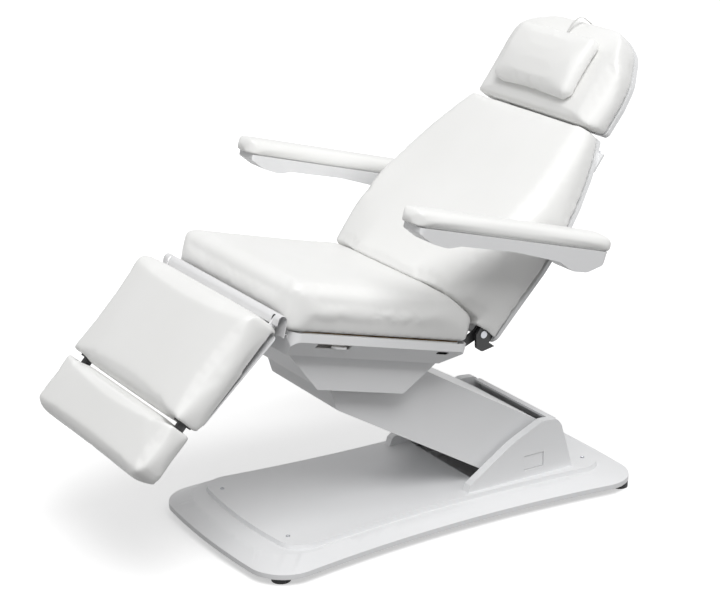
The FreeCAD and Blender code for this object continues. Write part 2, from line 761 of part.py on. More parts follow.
def carrier():
    """Two plates from the arm's front shaft up to the tilt shaft, tied by a cross bar."""
    ay, az = arm_front_point()
    ty, tz = seat_to_world(TILT_Y, TILT_Z)
    r = CARRIER_EYE_RADIUS
    outline = [
        (ay - r * 0.3, az - r, 0),
        (ay + r * 0.7, az - r, 0),
        (ay + LINK_Y + r * 0.9, az + LINK_Z - r * 0.2, 0),
        (ay + LINK_Y + r * 0.6, az + LINK_Z + r * 0.6, 0),
        (ty + r * 0.8, tz + r * 0.75, 0),
        (ty - r * 0.4, tz + r * 0.9, 0),
        (ty - r, tz, 0),
        (ty - r * 0.7, tz - r * 0.8, 0),
        (ay - r, az - r * 0.2, 0),
    ]
    half = CARRIER_PLATE / 2
    pieces = [across(outline, side * CARRIER_X - half, side * CARRIER_X + half) for side in (-1, 1)]
    my, mz = (ay + ty) / 2, (az + tz) / 2
    pieces.append(box(-CARRIER_X, CARRIER_X, my - r / 2, my + r / 2, mz - r / 2, mz + r / 2))
    body = fused(pieces)
    reach = CARRIER_X + CARRIER_PLATE
    for side in (-1, 1):
        x0, x1 = side * CARRIER_X - CARRIER_PLATE, side * CARRIER_X + CARRIER_PLATE
        body = body.cut(rod_x(TILT_SHAFT_RADIUS + RUN_GAP, x0, x1, ty, tz))
    return body


def carrier_shafts():
    """Stub shafts outside the carrier's plates for the arm, and one between them for the link."""
    ay, az = arm_front_point()
    long = ARM_TUBE_X + ARM_TUBE_WIDTH / 2
    outer = CARRIER_X + CARRIER_PLATE / 2
    inner = CARRIER_X - CARRIER_PLATE / 2
    stubs = [rod_x(ARM_SHAFT_RADIUS, x0, x1, ay, az) for x0, x1 in ((-long, -outer), (outer, long))]
    return Part.makeCompound(stubs + [rod_x(LINK_SHAFT_RADIUS, -inner, inner, ay + LINK_Y, az + LINK_Z)])


# Seat


def seat_rear_line(grow):
    """The seat cushion's rear face from its foot to its top edge, where the back meets it."""
    foot_y = SEAT_REAR - SEAT_HEIGHT * 0.12
    return [
        (foot_y + grow, -grow),
        (SEAT_REAR + grow, SEAT_HEIGHT * 0.2),
        (SEAT_REAR + grow, SEAT_HEIGHT * 0.5 + grow * 0.5),
        (SEAT_REAR - SEAT_HEIGHT * 0.86 + grow, SEAT_HEIGHT + grow),
    ]


def seat_cushion():
    rear = seat_rear_line(0)
    side = [
        (-SEAT_FRONT * 0.97, SEAT_GAP, 0),
        (-SEAT_FRONT, SEAT_HEIGHT * 0.5, SEAT_HEIGHT),
        (-SEAT_FRONT * 0.985, SEAT_HEIGHT * 0.96, SEAT_HEIGHT * 0.42),
        (rear[3][0], rear[3][1], SEAT_HEIGHT * 0.12),
        (rear[2][0], rear[2][1], SEAT_HEIGHT * 0.3),
        (rear[1][0], rear[1][1], SEAT_HEIGHT * 0.2),
        (rear[0][0], SEAT_GAP, 0),
    ]
    half = mirrored(
        [
            (SEAT_HALF * 0.975, 0, 0),
            (SEAT_HALF, SEAT_HEIGHT * 0.42, SEAT_HEIGHT),
            (SEAT_HALF * 0.985, SEAT_HEIGHT * 0.93, SEAT_HEIGHT * 0.36),
            (SEAT_HALF * 0.5, SEAT_HEIGHT, SEAT_HEIGHT * 6),
        ]
    )
    corner = SEAT_HEIGHT * 0.42
    plan = mirrored(
        [
            (SEAT_HALF * 0.98, -SEAT_FRONT - SHELL, corner),
            (SEAT_HALF, 0, SEAT_HALF * 6),
            (SEAT_HALF * 0.99, SEAT_REAR + SHELL, corner),
        ]
    )
    far = SEAT_FRONT + SEAT_REAR
    block = across(side, -SEAT_HALF, SEAT_HALF)
    block = block.common(lengthwise(half, -far, far))
    return to_seat(block.common(upright(plan, -SEAT_HEIGHT, SEAT_HEIGHT * 2)))


def pan_form(inset, top):
    side = [
        (-PAN_FRONT + inset, top, 0),
        (-PAN_FRONT + inset, -PAN_BAND, 0),
        (-PAN_FLOOR_FRONT + inset, -PAN_DEPTH + inset, 0),
        (PAN_FLOOR_REAR - inset, -PAN_DEPTH + inset, 0),
        (PAN_REAR - PAN_BAND * 0.6 - inset, -PAN_BAND * 1.3, 0),
        (PAN_REAR - inset, 0 - inset * 0.1, 0),
        (PAN_REAR - inset, top + 0.1 * inset, 0),
    ]
    if top <= 0:
        side.pop()
    cross = mirrored(
        [
            (PAN_FLOOR_HALF - inset, -PAN_DEPTH + inset, 0),
            (PAN_HALF - inset, -PAN_BAND, 0),
            (PAN_HALF - inset, top, 0),
        ]
    )
    far = PAN_FRONT + PAN_REAR
    block = across(side, -PAN_HALF, PAN_HALF).common(lengthwise(cross, -far, far))
    corner = PAN_BAND + PLATE
    plan = with_radius(
        [
            (PAN_HALF - inset, -PAN_FRONT + inset),
            (PAN_HALF - inset, PAN_REAR - inset),
            (-PAN_HALF + inset, PAN_REAR - inset),
            (-PAN_HALF + inset, -PAN_FRONT + inset),
        ],
        corner,
    )
    return block.common(upright(plan, -PAN_DEPTH, PAN_DEPTH))


def seat_pan():
    pan = pan_form(0, 0).cut(pan_form(SHELL, OVERRUN))
    half = PAN_OPENING_HALF
    front, rear = -PAN_OPENING_FRONT, PAN_OPENING_REAR
    pan = pan.cut(box(-half, half, front, rear, -PAN_DEPTH - OVERRUN, -PAN_DEPTH / 2))
    # the lever's recess and the round-ended socket are on the sitter's left
    inner = PAN_FLOOR_HALF
    recess = box(
        inner,
        PAN_HALF + OVERRUN,
        -RECESS_FRONT,
        -RECESS_FRONT + RECESS_LENGTH,
        RECESS_Z - RECESS_HEIGHT / 2,
        RECESS_Z + RECESS_HEIGHT / 2,
    )
    r = SOCKET_HEIGHT / 2
    socket = across(
        with_radius(
            [
                (SOCKET_Y - SOCKET_LENGTH / 2, RECESS_Z - r),
                (SOCKET_Y + SOCKET_LENGTH / 2, RECESS_Z - r),
                (SOCKET_Y + SOCKET_LENGTH / 2, RECESS_Z + r),
                (SOCKET_Y - SOCKET_LENGTH / 2, RECESS_Z + r),
            ],
            r * 0.98,
        ),
        inner,
        PAN_HALF + OVERRUN,
    )
    slots = []
    for side in (-1, 1):
        x = side * (SEAT_TUBE_X + SEAT_TUBE / 2 + HINGE_PLATE / 2)
        wide = HINGE_PLATE / 2 + SHEET
        slots.append(across(ear_outline(SHEET), x - wide, x + wide))
    return to_seat(cut_all(pan, [recess, socket] + slots))


def hopper_form(inset, up, down):
    side = [
        (-HOPPER_FRONT + inset, -PAN_DEPTH + up, 0),
        (-HOPPER_FLOOR_FRONT + inset, -PAN_DEPTH - HOPPER_DEPTH - down, 0),
        (HOPPER_FLOOR_REAR - inset, -PAN_DEPTH - HOPPER_DEPTH - down, 0),
        (HOPPER_REAR - inset, -PAN_DEPTH + up, 0),
    ]
    cross = mirrored(
        [
            (HOPPER_FLOOR_HALF - inset, -PAN_DEPTH - HOPPER_DEPTH - down, 0),
            (HOPPER_HALF - inset, -PAN_DEPTH + up, 0),
        ]
    )
    far = HOPPER_FRONT + HOPPER_REAR
    return across(side, -HOPPER_HALF, HOPPER_HALF).common(lengthwise(cross, -far, far))


def hopper_cover():
    """The bottomless trapezoid cover under the pan, with a notch in its rear wall for the arm."""
    cover = hopper_form(0, 0, 0).cut(hopper_form(SHELL, OVERRUN, OVERRUN))
    notch = ARM_HALF + SHELL * 3
    return to_seat(
        cover.cut(box(-notch, notch, 0, HOPPER_REAR + OVERRUN, -PAN_DEPTH - HOPPER_DEPTH - OVERRUN, 0))
    )


def seat_frame():
    half = SEAT_TUBE / 2
    high = -BOARD - SEAT_GAP
    low = high - SEAT_TUBE
    front, rear = PAN_FLOOR_FRONT - SHELL * 2, PAN_FLOOR_REAR
    pieces = []
    for side in (-1, 1):
        x = side * SEAT_TUBE_X
        tube = box(x - half, x + half, -front, rear, low, high)
        x0, x1 = x - half + SHEET, x + half - SHEET
        pieces.append(tube.cut(box(x0, x1, -front - OVERRUN, rear + OVERRUN, low + SHEET, high - SHEET)))
    for y in (-front, rear - SEAT_TUBE):
        pieces.append(box(-SEAT_TUBE_X + half, SEAT_TUBE_X - half, y, y + SEAT_TUBE, low, high))
    # lugs that hang from two inner beams carry the tilt shaft outside the carrier's plates
    lug_x = CARRIER_X + CARRIER_PLATE
    for side in (-1, 1):
        x0, x1 = sorted((side * lug_x, side * (lug_x + PLATE * 2)))
        pieces.append(box(x0, x1, -front, rear, high - SEAT_TUBE / 2, high))
        r = TILT_SHAFT_RADIUS
        eye = across(
            [
                (TILT_Y - r * 2.4, high, 0),
                (TILT_Y - r * 1.6, TILT_Z - r * 0.9, 0),
                (TILT_Y - r * 0.8, TILT_Z - r * 1.6, 0),
                (TILT_Y + r * 0.8, TILT_Z - r * 1.6, 0),
                (TILT_Y + r * 1.6, TILT_Z - r * 0.9, 0),
                (TILT_Y + r * 2.4, high, 0),
            ],
            x0,
            x1,
        )
        pieces.append(eye)
    return to_seat(fused(pieces))


def tilt_shaft():
    """The shaft that the seat tilts on, welded between the seat frame's two lugs."""
    reach = CARRIER_X + CARRIER_PLATE
    return to_seat(rod_x(TILT_SHAFT_RADIUS, -reach, reach, TILT_Y, TILT_Z))


def seat_board():
    inset = SHELL + BOARD
    points = [
        (PAN_HALF - inset, -PAN_FRONT + inset),
        (PAN_HALF - inset, PAN_REAR - inset),
        (-PAN_HALF + inset, PAN_REAR - inset),
        (-PAN_HALF + inset, -PAN_FRONT + inset),
    ]
    return to_seat(upright(with_radius(points, PAN_BAND + PLATE), -BOARD, 0))


def knee_cover():
    """The bent sheet over the knee joint: a half-round top, a short front and a long rear wall."""
    r = KNEE_COVER_RADIUS
    foot_z = -BOARD
    outer = [
        (KNEE_Y - r, KNEE_Z - KNEE_COVER_DROP, 0),
        (KNEE_Y - r, KNEE_Z + r, r * 0.98),
        (KNEE_Y + r, KNEE_Z + r, r * 0.98),
        (KNEE_Y + r, foot_z, 0),
    ]
    inner_r = r - SHEET
    inner = [
        (KNEE_Y - inner_r, foot_z - OVERRUN, 0),
        (KNEE_Y - inner_r, KNEE_Z + inner_r, inner_r * 0.98),
        (KNEE_Y + inner_r, KNEE_Z + inner_r, inner_r * 0.98),
        (KNEE_Y + inner_r, foot_z - OVERRUN, 0),
    ]
    full = across(outer[:1] + outer[1:] + [(KNEE_Y - r, foot_z, 0)], -KNEE_COVER_HALF, KNEE_COVER_HALF)
    cover = full.cut(across(inner, -KNEE_COVER_HALF - OVERRUN, KNEE_COVER_HALF + OVERRUN))
    below = box(
        -KNEE_COVER_HALF - OVERRUN,
        KNEE_COVER_HALF + OVERRUN,
        KNEE_Y - r - OVERRUN,
        KNEE_Y,
        foot_z - OVERRUN,
        KNEE_Z - KNEE_COVER_DROP,
    )
    cover = cover.cut(below)
    for side in (-1, 1):
        x = side * KNUCKLE_X
        wide = PLATE / 2 + SHEET
        top = KNEE_Z + KNUCKLE_RADIUS + SHEET / 2
        cover = cover.cut(box(x - wide, x + wide, KNEE_Y - r - OVERRUN, KNEE_Y, foot_z, top))
    half = PAN_HALF - PAN_BAND - PLATE
    foot = box(-half, half, KNEE_Y + inner_r, -PAN_FRONT, foot_z, foot_z + SHEET)
    lip = box(-half, half, -PAN_FRONT - SHEET, -PAN_FRONT, -PAN_BAND + SHEET, foot_z + SHEET)
    return to_seat(fused([cover, foot, lip]))


def knee_lugs():
    """Two ears inside the knee cover, from its rear wall round the knee rod."""
    r = KNUCKLE_RADIUS
    wall = KNEE_Y + KNEE_COVER_RADIUS - SHEET
    outline = [
        (wall, KNEE_Z - r * 2.1, 0),
        (KNEE_Y - r * 0.9, KNEE_Z - r * 0.7, 0),
        (KNEE_Y - r * 0.9, KNEE_Z + r * 0.5, 0),
        (KNEE_Y - r * 0.4, KNEE_Z + r, 0),
        (KNEE_Y + r * 0.5, KNEE_Z + r, 0),
        (wall, KNEE_Z + r * 0.2, 0),
    ]
    lugs = []
    for side in (-1, 1):
        x = side * KNUCKLE_LUG_X
        lug = across(outline, x - PLATE / 2, x + PLATE / 2)
        lugs.append(lug.cut(rod_x(KNEE_ROD_RADIUS, x - PLATE, x + PLATE, KNEE_Y, KNEE_Z)))
    return to_seat(Part.makeCompound(lugs))


def knee_rod():
    reach = KNUCKLE_X + PLATE
    return to_seat(rod_x(KNEE_ROD_RADIUS, -reach, reach, KNEE_Y, KNEE_Z))


def ear_outline(grow):
    """The ear's arm from the seat frame to the back's hinge, in the seat's frame."""
    by, bz = world_to_seat(BACK_Y, BACK_Z)
    r = BACK_EYE_RADIUS
    high = -BOARD - SEAT_GAP + grow
    low = -BOARD - SEAT_TUBE - grow
    return [
        (PAN_FLOOR_REAR - SEAT_TUBE, high, 0),
        (PAN_FLOOR_REAR - SEAT_TUBE, low, 0),
        (PAN_REAR - PAN_BAND, low, 0),
        (by + r * 0.5, bz - r * 0.5, 0),
        (by - r * 0.5, bz + r * 0.5, 0),
        (PAN_REAR - PAN_BAND / 2, high, 0),
    ]


def back_hinge_ears():
    """Plates from the seat frame's rear to the back's hinge pins, which are welded to them."""
    by, bz = world_to_seat(BACK_Y, BACK_Z)
    r = BACK_EYE_RADIUS
    tip = [
        (by - r * 0.9, bz - r * 0.2, 0),
        (by + r * 0.2, bz - r * 0.9, 0),
        (by + r * 0.9, bz - r * 0.3, 0),
        (by + r * 0.9, bz + r * 0.4, 0),
        (by + r * 0.3, bz + r * 0.9, 0),
        (by - r * 0.5, bz + r * 0.8, 0),
    ]
    ears = []
    for side in (-1, 1):
        face = SEAT_TUBE_X + SEAT_TUBE / 2
        x0, x1 = sorted((side * face, side * (face + HINGE_PLATE)))
        ears.append(fused([across(ear_outline(0), x0, x1), across(tip, x0, x1)]))
    return to_seat(Part.makeCompound(ears))


def back_hinge_pins():
    by, bz = world_to_seat(BACK_Y, BACK_Z)
    pins = []
    for side in (-1, 1):
        ear = SEAT_TUBE_X + SEAT_TUBE / 2 + HINGE_PLATE
        x0, x1 = sorted((side * ear, side * (BACK_EYE_X + HINGE_PLATE / 2 + SHEET)))
        pins.append(rod_x(BACK_PIN_RADIUS, x0, x1, by, bz))
    return to_seat(Part.makeCompound(pins))


def lever_pivot():
    """The side lever's pin, in the seat's frame."""
    x = SEAT_TUBE_X + SEAT_TUBE / 2 + LEVER_HUB_RADIUS + SHEET
    return x, -RECESS_FRONT + RECESS_LENGTH - LEVER_HUB_RADIUS * 2


def side_lever():
    """The release lever in the pan's side recess, a flat finger plate turning on an upright pin."""
    x, y = lever_pivot()
    y1 = -RECESS_FRONT + RECESS_LENGTH - SHELL * 2
    y0 = y1 - LEVER_LENGTH
    outer = PAN_HALF - PLATE
    low = RECESS_Z - LEVER_THICK
    r = LEVER_HUB_RADIUS
    outline = [
        (x - r, y - r * 0.5, r * 0.9),
        (outer - r, y0, 0),
        (outer, y0 + r, r * 2),
        (outer, y1, PLATE),
        (x - r, y + r, r * 0.9),
    ]
    blade = upright(outline, low, RECESS_Z)
    return to_seat(blade.cut(rod_z(LEVER_PIN_RADIUS + RUN_GAP, low - OVERRUN, RECESS_Z + OVERRUN, x, y)))


def side_lever_pin():
    """The lever's pin on a small bracket from the seat frame's side tube."""
    x, y = lever_pivot()
    top = -BOARD - SEAT_GAP * 4
    low = RECESS_Z - LEVER_THICK - SEAT_GAP
    r = LEVER_HUB_RADIUS
    bracket = box(SEAT_TUBE_X + SEAT_TUBE / 2, x + r / 2, y - r, y + r, low - SHEET, low)
    return to_seat(fused([bracket, rod_z(LEVER_PIN_RADIUS, low - SHEET, top, x, y)]))


# Leg section


def leg_cushion():
    back = LEG_BACK_KNEE - (LEG_BACK_KNEE - LEG_BACK_FOOT) * 0.06
    thick = LEG_FRONT
    side = [
        (-LEG_START - thick * 0.1, -back, 0),
        (-LEG_START, -back * 0.1, thick * 0.5),
        (-LEG_START - thick * 0.04, thick * 0.97, thick * 0.5),
        (-LEG_END + thick * 0.02, thick, thick * 0.2),
        (-LEG_END, thick * 0.5, thick),
        (-LEG_END + thick * 0.05, -LEG_BACK_FOOT, 0),
    ]
    block = across(side, -LEG_HALF, LEG_HALF)
    cross = mirrored(
        [
            (LEG_HALF * 0.96, -LEG_BACK_KNEE - OVERRUN, 0),
            (LEG_HALF, thick * 0.4, thick * 1.2),
            (LEG_HALF * 0.985, thick * 0.95, thick * 0.36),
            (LEG_HALF * 0.5, thick, thick * 6),
        ]
    )
    block = block.common(lengthwise(cross, -LEG_END - OVERRUN, 0))
    plan = mirrored(
        [
            (LEG_HALF * 0.985, -LEG_START + SHELL, thick * 0.3),
            (LEG_HALF, -LEG_END * 0.55, LEG_HALF * 5),
            (LEG_HALF * 0.985, -LEG_END - SHELL, thick * 0.16),
        ]
    )
    block = block.common(upright(plan, -LEG_BACK_KNEE - OVERRUN, thick + OVERRUN))
    # the frame lies in a hollow that the back panel closes
    cavity = box(
        -LEG_HALF + LEG_WALL,
        LEG_HALF - LEG_WALL,
        -LEG_END + LEG_WALL,
        -LEG_START - LEG_WALL,
        -LEG_BACK_KNEE - OVERRUN,
        GUIDE_Z + GUIDE_RADIUS + PLATE,
    )
    block = block.cut(cavity)
    grip = GUIDE_RADIUS + SEAT_GAP
    for x in (-GUIDE_X, GUIDE_X):
        mouth = (-LEG_END - OVERRUN, -LEG_END + LEG_WALL + OVERRUN)
        block = block.cut(box(x - grip, x + grip, *mouth, GUIDE_Z - grip, GUIDE_Z + grip))
    for side_x in (-1, 1):
        x = side_x * KNUCKLE_X
        block = block.cut(
            box(
                x - PLATE / 2 - SHEET,
                x + PLATE / 2 + SHEET,
                -LEG_START - LEG_WALL - OVERRUN,
                0,
                -LEG_BACK_KNEE - OVERRUN,
                KNUCKLE_RADIUS + SHEET,
            )
        )
    return to_leg(block)


def leg_back_panel():
    """The moulded panel that closes the leg section's underside."""
    slope = math.degrees(math.atan2(LEG_BACK_KNEE - LEG_BACK_FOOT, LEG_END - LEG_START))
    length = (LEG_END - LEG_START) * 0.88
    half = LEG_HALF - LEG_WALL - SEAT_GAP
    points = with_radius([(half, -length), (half, 0), (-half, 0), (-half, -length)], LEG_WALL)
    panel = upright(points, 0, SHELL)
    start = -LEG_START - LEG_WALL - SEAT_GAP - SHELL / 2
    return to_leg(place(panel, start, -LEG_BACK_KNEE + SHEET + SHELL / 2, -slope))


def leg_frame():
    """Knuckles round the knee rod, two cross plates between the guides, and two ribs."""
    reach = LEG_END - LEG_WALL - SHEET
    start = LEG_START + LEG_WALL + SHEET
    r = KNUCKLE_RADIUS
    pieces = []
    for side in (-1, 1):
        x = side * KNUCKLE_X
        knuckle = across(
            [
                (-start - SEAT_TUBE, -r, 0),
                (r * 0.5, -r, 0),
                (r, -r * 0.5, 0),
                (r, r * 0.5, 0),
                (r * 0.5, r, 0),
                (-start - SEAT_TUBE, r, 0),
            ],
            x - PLATE / 2,
            x + PLATE / 2,
        )
        pieces.append(knuckle.cut(rod_x(KNEE_ROD_RADIUS + RUN_GAP, x - PLATE, x + PLATE, 0, 0)))
    low, high = SHELL * 2 + SHEET, GUIDE_Z + GUIDE_RADIUS
    wide = GUIDE_X - GUIDE_RADIUS
    for y in (-start - SEAT_TUBE / 2, -reach + PLATE / 2):
        pieces.append(box(-wide, wide, y - PLATE / 2, y + PLATE / 2, low, high))
    # the knuckles stand outside the guides on a bar that passes below them
    y, end = -start - SEAT_TUBE / 2, KNUCKLE_X + PLATE / 2
    pieces.append(box(-end, end, y - PLATE / 2, y + PLATE / 2, -r, GUIDE_Z - GUIDE_RADIUS - SEAT_GAP))
    for side in (-1, 1):
        x = side * GUIDE_X * 0.5
        pieces.append(box(x - PLATE / 2, x + PLATE / 2, -reach, -start, low, low + SEAT_TUBE))
    return to_leg(fused(pieces))


def slide_guides():
    """Square guide blocks along the leg section, bored for the slide rods."""
    r = GUIDE_RADIUS
    guides = []
    for x in (-GUIDE_X, GUIDE_X):
        block = box(x - r, x + r, -LEG_END + SHEET, -LEG_START - LEG_WALL - SHEET, GUIDE_Z - r, GUIDE_Z + r)
        guides.append(block.cut(rod_y(SLIDE_RADIUS + RUN_GAP, -LEG_END - OVERRUN, -LEG_START, x, GUIDE_Z)))
    return to_leg(Part.makeCompound(guides))


def foot_cushion():
    thick = LEG_FRONT
    start = LEG_END + FOOT_GAP
    end = start + FOOT_LENGTH
    side = [
        (-start - thick * 0.03, FOOT_BACK, 0),
        (-start, thick * 0.5, thick),
        (-start - thick * 0.02, thick, thick * 0.2),
        (-end + thick * 0.12, thick * 0.93, thick * 0.42),
        (-end, thick * 0.52, thick * 0.6),
        (-end + thick * 0.2, FOOT_BACK, 0),
    ]
    block = across(side, -LEG_HALF, LEG_HALF)
    cross = mirrored(
        [
            (LEG_HALF * 0.97, FOOT_BACK, 0),
            (LEG_HALF, thick * 0.45, thick * 0.8),
            (LEG_HALF * 0.985, thick * 0.95, thick * 0.36),
            (LEG_HALF * 0.5, thick, thick * 6),
        ]
    )
    block = block.common(lengthwise(cross, -end - OVERRUN, -start + OVERRUN))
    plan = mirrored(
        [
            (LEG_HALF * 0.985, -start + SHELL, thick * 0.16),
            (LEG_HALF * 0.995, -start - FOOT_LENGTH * 0.4, LEG_HALF),
            (LEG_HALF * 0.975, -end + FOOT_LENGTH * 0.03, FOOT_CORNER),
            (LEG_HALF * 0.45, -end, LEG_HALF * 2),
        ]
    )
    block = block.common(upright(plan, 0, thick + OVERRUN))
    cavity = box(
        -LEG_HALF + LEG_WALL * 2,
        LEG_HALF - LEG_WALL * 2,
        -end + FOOT_LENGTH / 2,
        -start - LEG_WALL,
        0,
        GUIDE_Z + GUIDE_RADIUS,
    )
    block = block.cut(cavity)
    for x in (-GUIDE_X, GUIDE_X):
        deep = -start - LEG_WALL - OVERRUN
        block = block.cut(rod_y(SLIDE_RADIUS + SEAT_GAP, deep, -start + OVERRUN, x, GUIDE_Z))
    return to_leg(block)


def foot_panel():
    """The plate inside the foot pad, which the two slide rods end on."""
    start = LEG_END + FOOT_GAP + LEG_WALL + SHEET
    wide = LEG_HALF - LEG_WALL * 2 - SEAT_GAP
    depth = FOOT_LENGTH / 2 - LEG_WALL - SHEET * 2
    wall = box(-wide, wide, -start - PLATE, -start, FOOT_BACK + SHELL, GUIDE_Z + GUIDE_RADIUS - SEAT_GAP)
    floor = box(-wide, wide, -start - depth, -start, FOOT_BACK, FOOT_BACK + SHELL)
    return to_leg(fused([wall, floor]))


def slide_rods():
    start = LEG_END + FOOT_GAP + LEG_WALL + SHEET
    length = SLIDE_TRAVEL + FOOT_GAP + LEG_WALL * 2 + SLIDE_TRAVEL * 0.55
    rods = [rod_y(SLIDE_RADIUS, -start, -start + length, x, GUIDE_Z) for x in (-GUIDE_X, GUIDE_X)]
    return to_leg(Part.makeCompound(rods))


# Back section

# shares along the length, of the half width, and of the low front for the sides and the crown
BACK_ROWS = (
    (0.0, 0.885, 0.84, 1.01),
    (0.17, 0.93, 0.81, 0.9),
    (0.37, 0.985, 0.72, 0.745),
    (0.55, 1.0, 0.56, 0.58),
    (0.68, 0.972, 0.45, 0.472),
    (0.84, 0.9, 0.322, 0.342),
    (1.0, 0.775, 0.18, 0.202),
)


def back_outline(inset, base, top):
    """The back's shield outline, widest beside the armrests."""
    points = []
    for along, wide, _, _ in BACK_ROWS:
        z = base + (top - base) * along
        points.append((BACK_HALF * wide - inset, z, BACK_HALF * 0.6))
    points[0] = (points[0][0], points[0][1], BACK_HALF * 0.08)
    points[-1] = (points[-1][0], points[-1][1], BACK_HALF * 0.05)
    return points


def shield(inset, base, top, y0, y1):
    """The shield outline as a slab from y0 to y1, in the back's frame."""
    points = mirrored(back_outline(inset, base, top))
    wire = rounded_wire(points, lambda x, z: Vector(x, y0, z))
    return Part.Face(wire).extrude(Vector(0, y1 - y0, 0))


def seat_keepout():
    """The space of the seat cushion's rear end with a gap round it, in the back's frame."""
    line = seat_rear_line(SOFT_GAP)
    line.append((-SEAT_FRONT, SEAT_HEIGHT + SOFT_GAP))
    line.append((-SEAT_FRONT, -SEAT_HEIGHT))
    line.append((line[0][0], -SEAT_HEIGHT))
    points = [world_to_back(*seat_to_world(y, z)) for y, z in line]
    return across(with_radius(points, 0), -BACK_HALF - OVERRUN, BACK_HALF + OVERRUN)


def back_section(half, side_y, crown_y, rear, z):
    """One level cut of the back cushion: round front edges and a crown between them."""
    outline = mirrored(
        [
            (half, rear, 0),
            (half, -side_y, BACK_EDGE),
            (half * 0.42, -crown_y, BACK_HALF),
        ]
    )
    return rounded_wire(outline, lambda x, y: Vector(x, y, z))


def back_cushion():
    """A loft through level cuts, cut by the seat's rear end and hollow for the frame."""
    top = BACK_LENGTH
    rear = BACK_REAR - BACK_SHELL - SEAT_GAP
    wires = []
    for along, wide, side, crown in BACK_ROWS:
        z = BACK_BASE + (top - BACK_BASE) * along
        wires.append(back_section(BACK_HALF * wide, BACK_LOW_FRONT * side, BACK_LOW_FRONT * crown, rear, z))
    block = Part.makeLoft(wires, True, False)
    rim = [
        e
        for e in block.Edges
        if e.BoundBox.ZMin > top - SHEET and e.BoundBox.YMin < rear - SHEET
    ]
    block = block.makeFillet(BACK_TOP_EDGE, rim)
    # the nose over the seat is rounded, and everything above it is left as it is
    w = BACK_HALF + OVERRUN
    free = BACK_TOP_EDGE
    side = [
        (rear + OVERRUN, BACK_BASE, 0),
        (rear + OVERRUN, top + OVERRUN, 0),
        (-BACK_TOP_FRONT - free, top + OVERRUN, 0),
        (-BACK_LOW_FRONT - free / 2, BACK_CROWN_LOW * 2, 0),
        (-BACK_LOW_FRONT, BACK_CROWN_LOW, BACK_CROWN_LOW),
        (-BACK_LOW_FRONT * 0.8, BACK_BASE, 0),
    ]
    block = block.common(across(side, -w, w))
    block = block.cut(seat_keepout())
    cavity = box(
        -BACK_CAVITY_HALF,
        BACK_CAVITY_HALF,
        rear - BACK_CAVITY_DEPTH,
        rear + OVERRUN,
        BACK_BASE - OVERRUN,
        top - BACK_TUBE * 2,
    )
    pockets = [cavity]
    r = BACK_EYE_RADIUS + SHEET
    for side in (-1, 1):
        x0 = side * (SEAT_TUBE_X + SEAT_TUBE / 2 - SHEET)
        x1 = side * (BACK_EYE_X + HINGE_PLATE / 2 + SHEET * 2)
        x0, x1 = sorted((x0, x1))
        pockets.append(rod_x(r, x0, x1, 0, 0))
        pockets.append(box(x0, x1, -r, rear + OVERRUN, -r, BACK_BASE + BACK_TUBE * 2.4 + SHEET))
    return to_back(cut_all(block, pockets))


def back_shell():
    """The thin moulded shell behind the back cushion."""
    base = BACK_BASE - BACK_SHELL
    return to_back(shield(SHELL * 1.5, base, BACK_LENGTH - SHELL, BACK_REAR - BACK_SHELL, BACK_REAR))


def back_frame():
    """Two uprights and two cross tubes in the hollow behind the cushion."""
    half = BACK_TUBE / 2
    y1 = BACK_REAR - BACK_SHELL - SEAT_GAP * 2
    y0 = y1 - BACK_TUBE
    top = BACK_LENGTH - BACK_TUBE * 2.2
    base = BACK_BASE + BACK_TUBE
    pieces = []
    for side in (-1, 1):
        x = side * BACK_TUBE_X
        tube = box(x - half, x + half, y0, y1, base, top)
        x0, x1 = x - half + SHEET, x + half - SHEET
        pieces.append(tube.cut(box(x0, x1, y0 + SHEET, y1 - SHEET, base - OVERRUN, top + OVERRUN)))
    for z in (base, top * 0.5, top - BACK_TUBE):
        pieces.append(box(-BACK_TUBE_X + half, BACK_TUBE_X - half, y0, y1, z, z + BACK_TUBE))
    # stubs from the uprights to the armrest pivots
    py, pz = rest_pivot_in_back()
    inner = BACK_TUBE_X + half
    for side in (-1, 1):
        x0, x1 = sorted((side * inner, side * (BACK_CAVITY_HALF - SEAT_GAP)))
        pieces.append(box(x0, x1, y0, y1, pz - BACK_TUBE, pz + BACK_TUBE))
    return to_back(fused(pieces))


def rest_pivot_in_back():
    return world_to_back(REST_Y, REST_Z)


def back_hinge_brackets():
    """Black hinge arms under the back's lower corners, bolted to the uprights."""
    r = BACK_EYE_RADIUS
    y1 = BACK_REAR - BACK_SHELL - SEAT_GAP * 2
    outline = [
        (r * 0.1, -r * 2, r * 0.5),
        (r * 1.2, -r * 2, r * 0.5),
        (r * 2.6, -r * 0.5, 0),
        (y1, -r * 0.5, 0),
        (y1, BACK_BASE + BACK_TUBE * 2.4, 0),
        (y1 - BACK_TUBE, BACK_BASE + BACK_TUBE * 2.4, 0),
        (-r, r, r * 0.6),
        (-r, -r * 0.6, 0),
    ]
    brackets = []
    for side in (-1, 1):
        x0, x1 = sorted((side * (BACK_EYE_X - HINGE_PLATE / 2), side * (BACK_EYE_X + HINGE_PLATE / 2)))
        plate = across(outline, x0, x1)
        brackets.append(plate.cut(rod_x(BACK_PIN_RADIUS + RUN_GAP, x0 - OVERRUN, x1 + OVERRUN, 0, 0)))
    return to_back(Part.makeCompound(brackets))


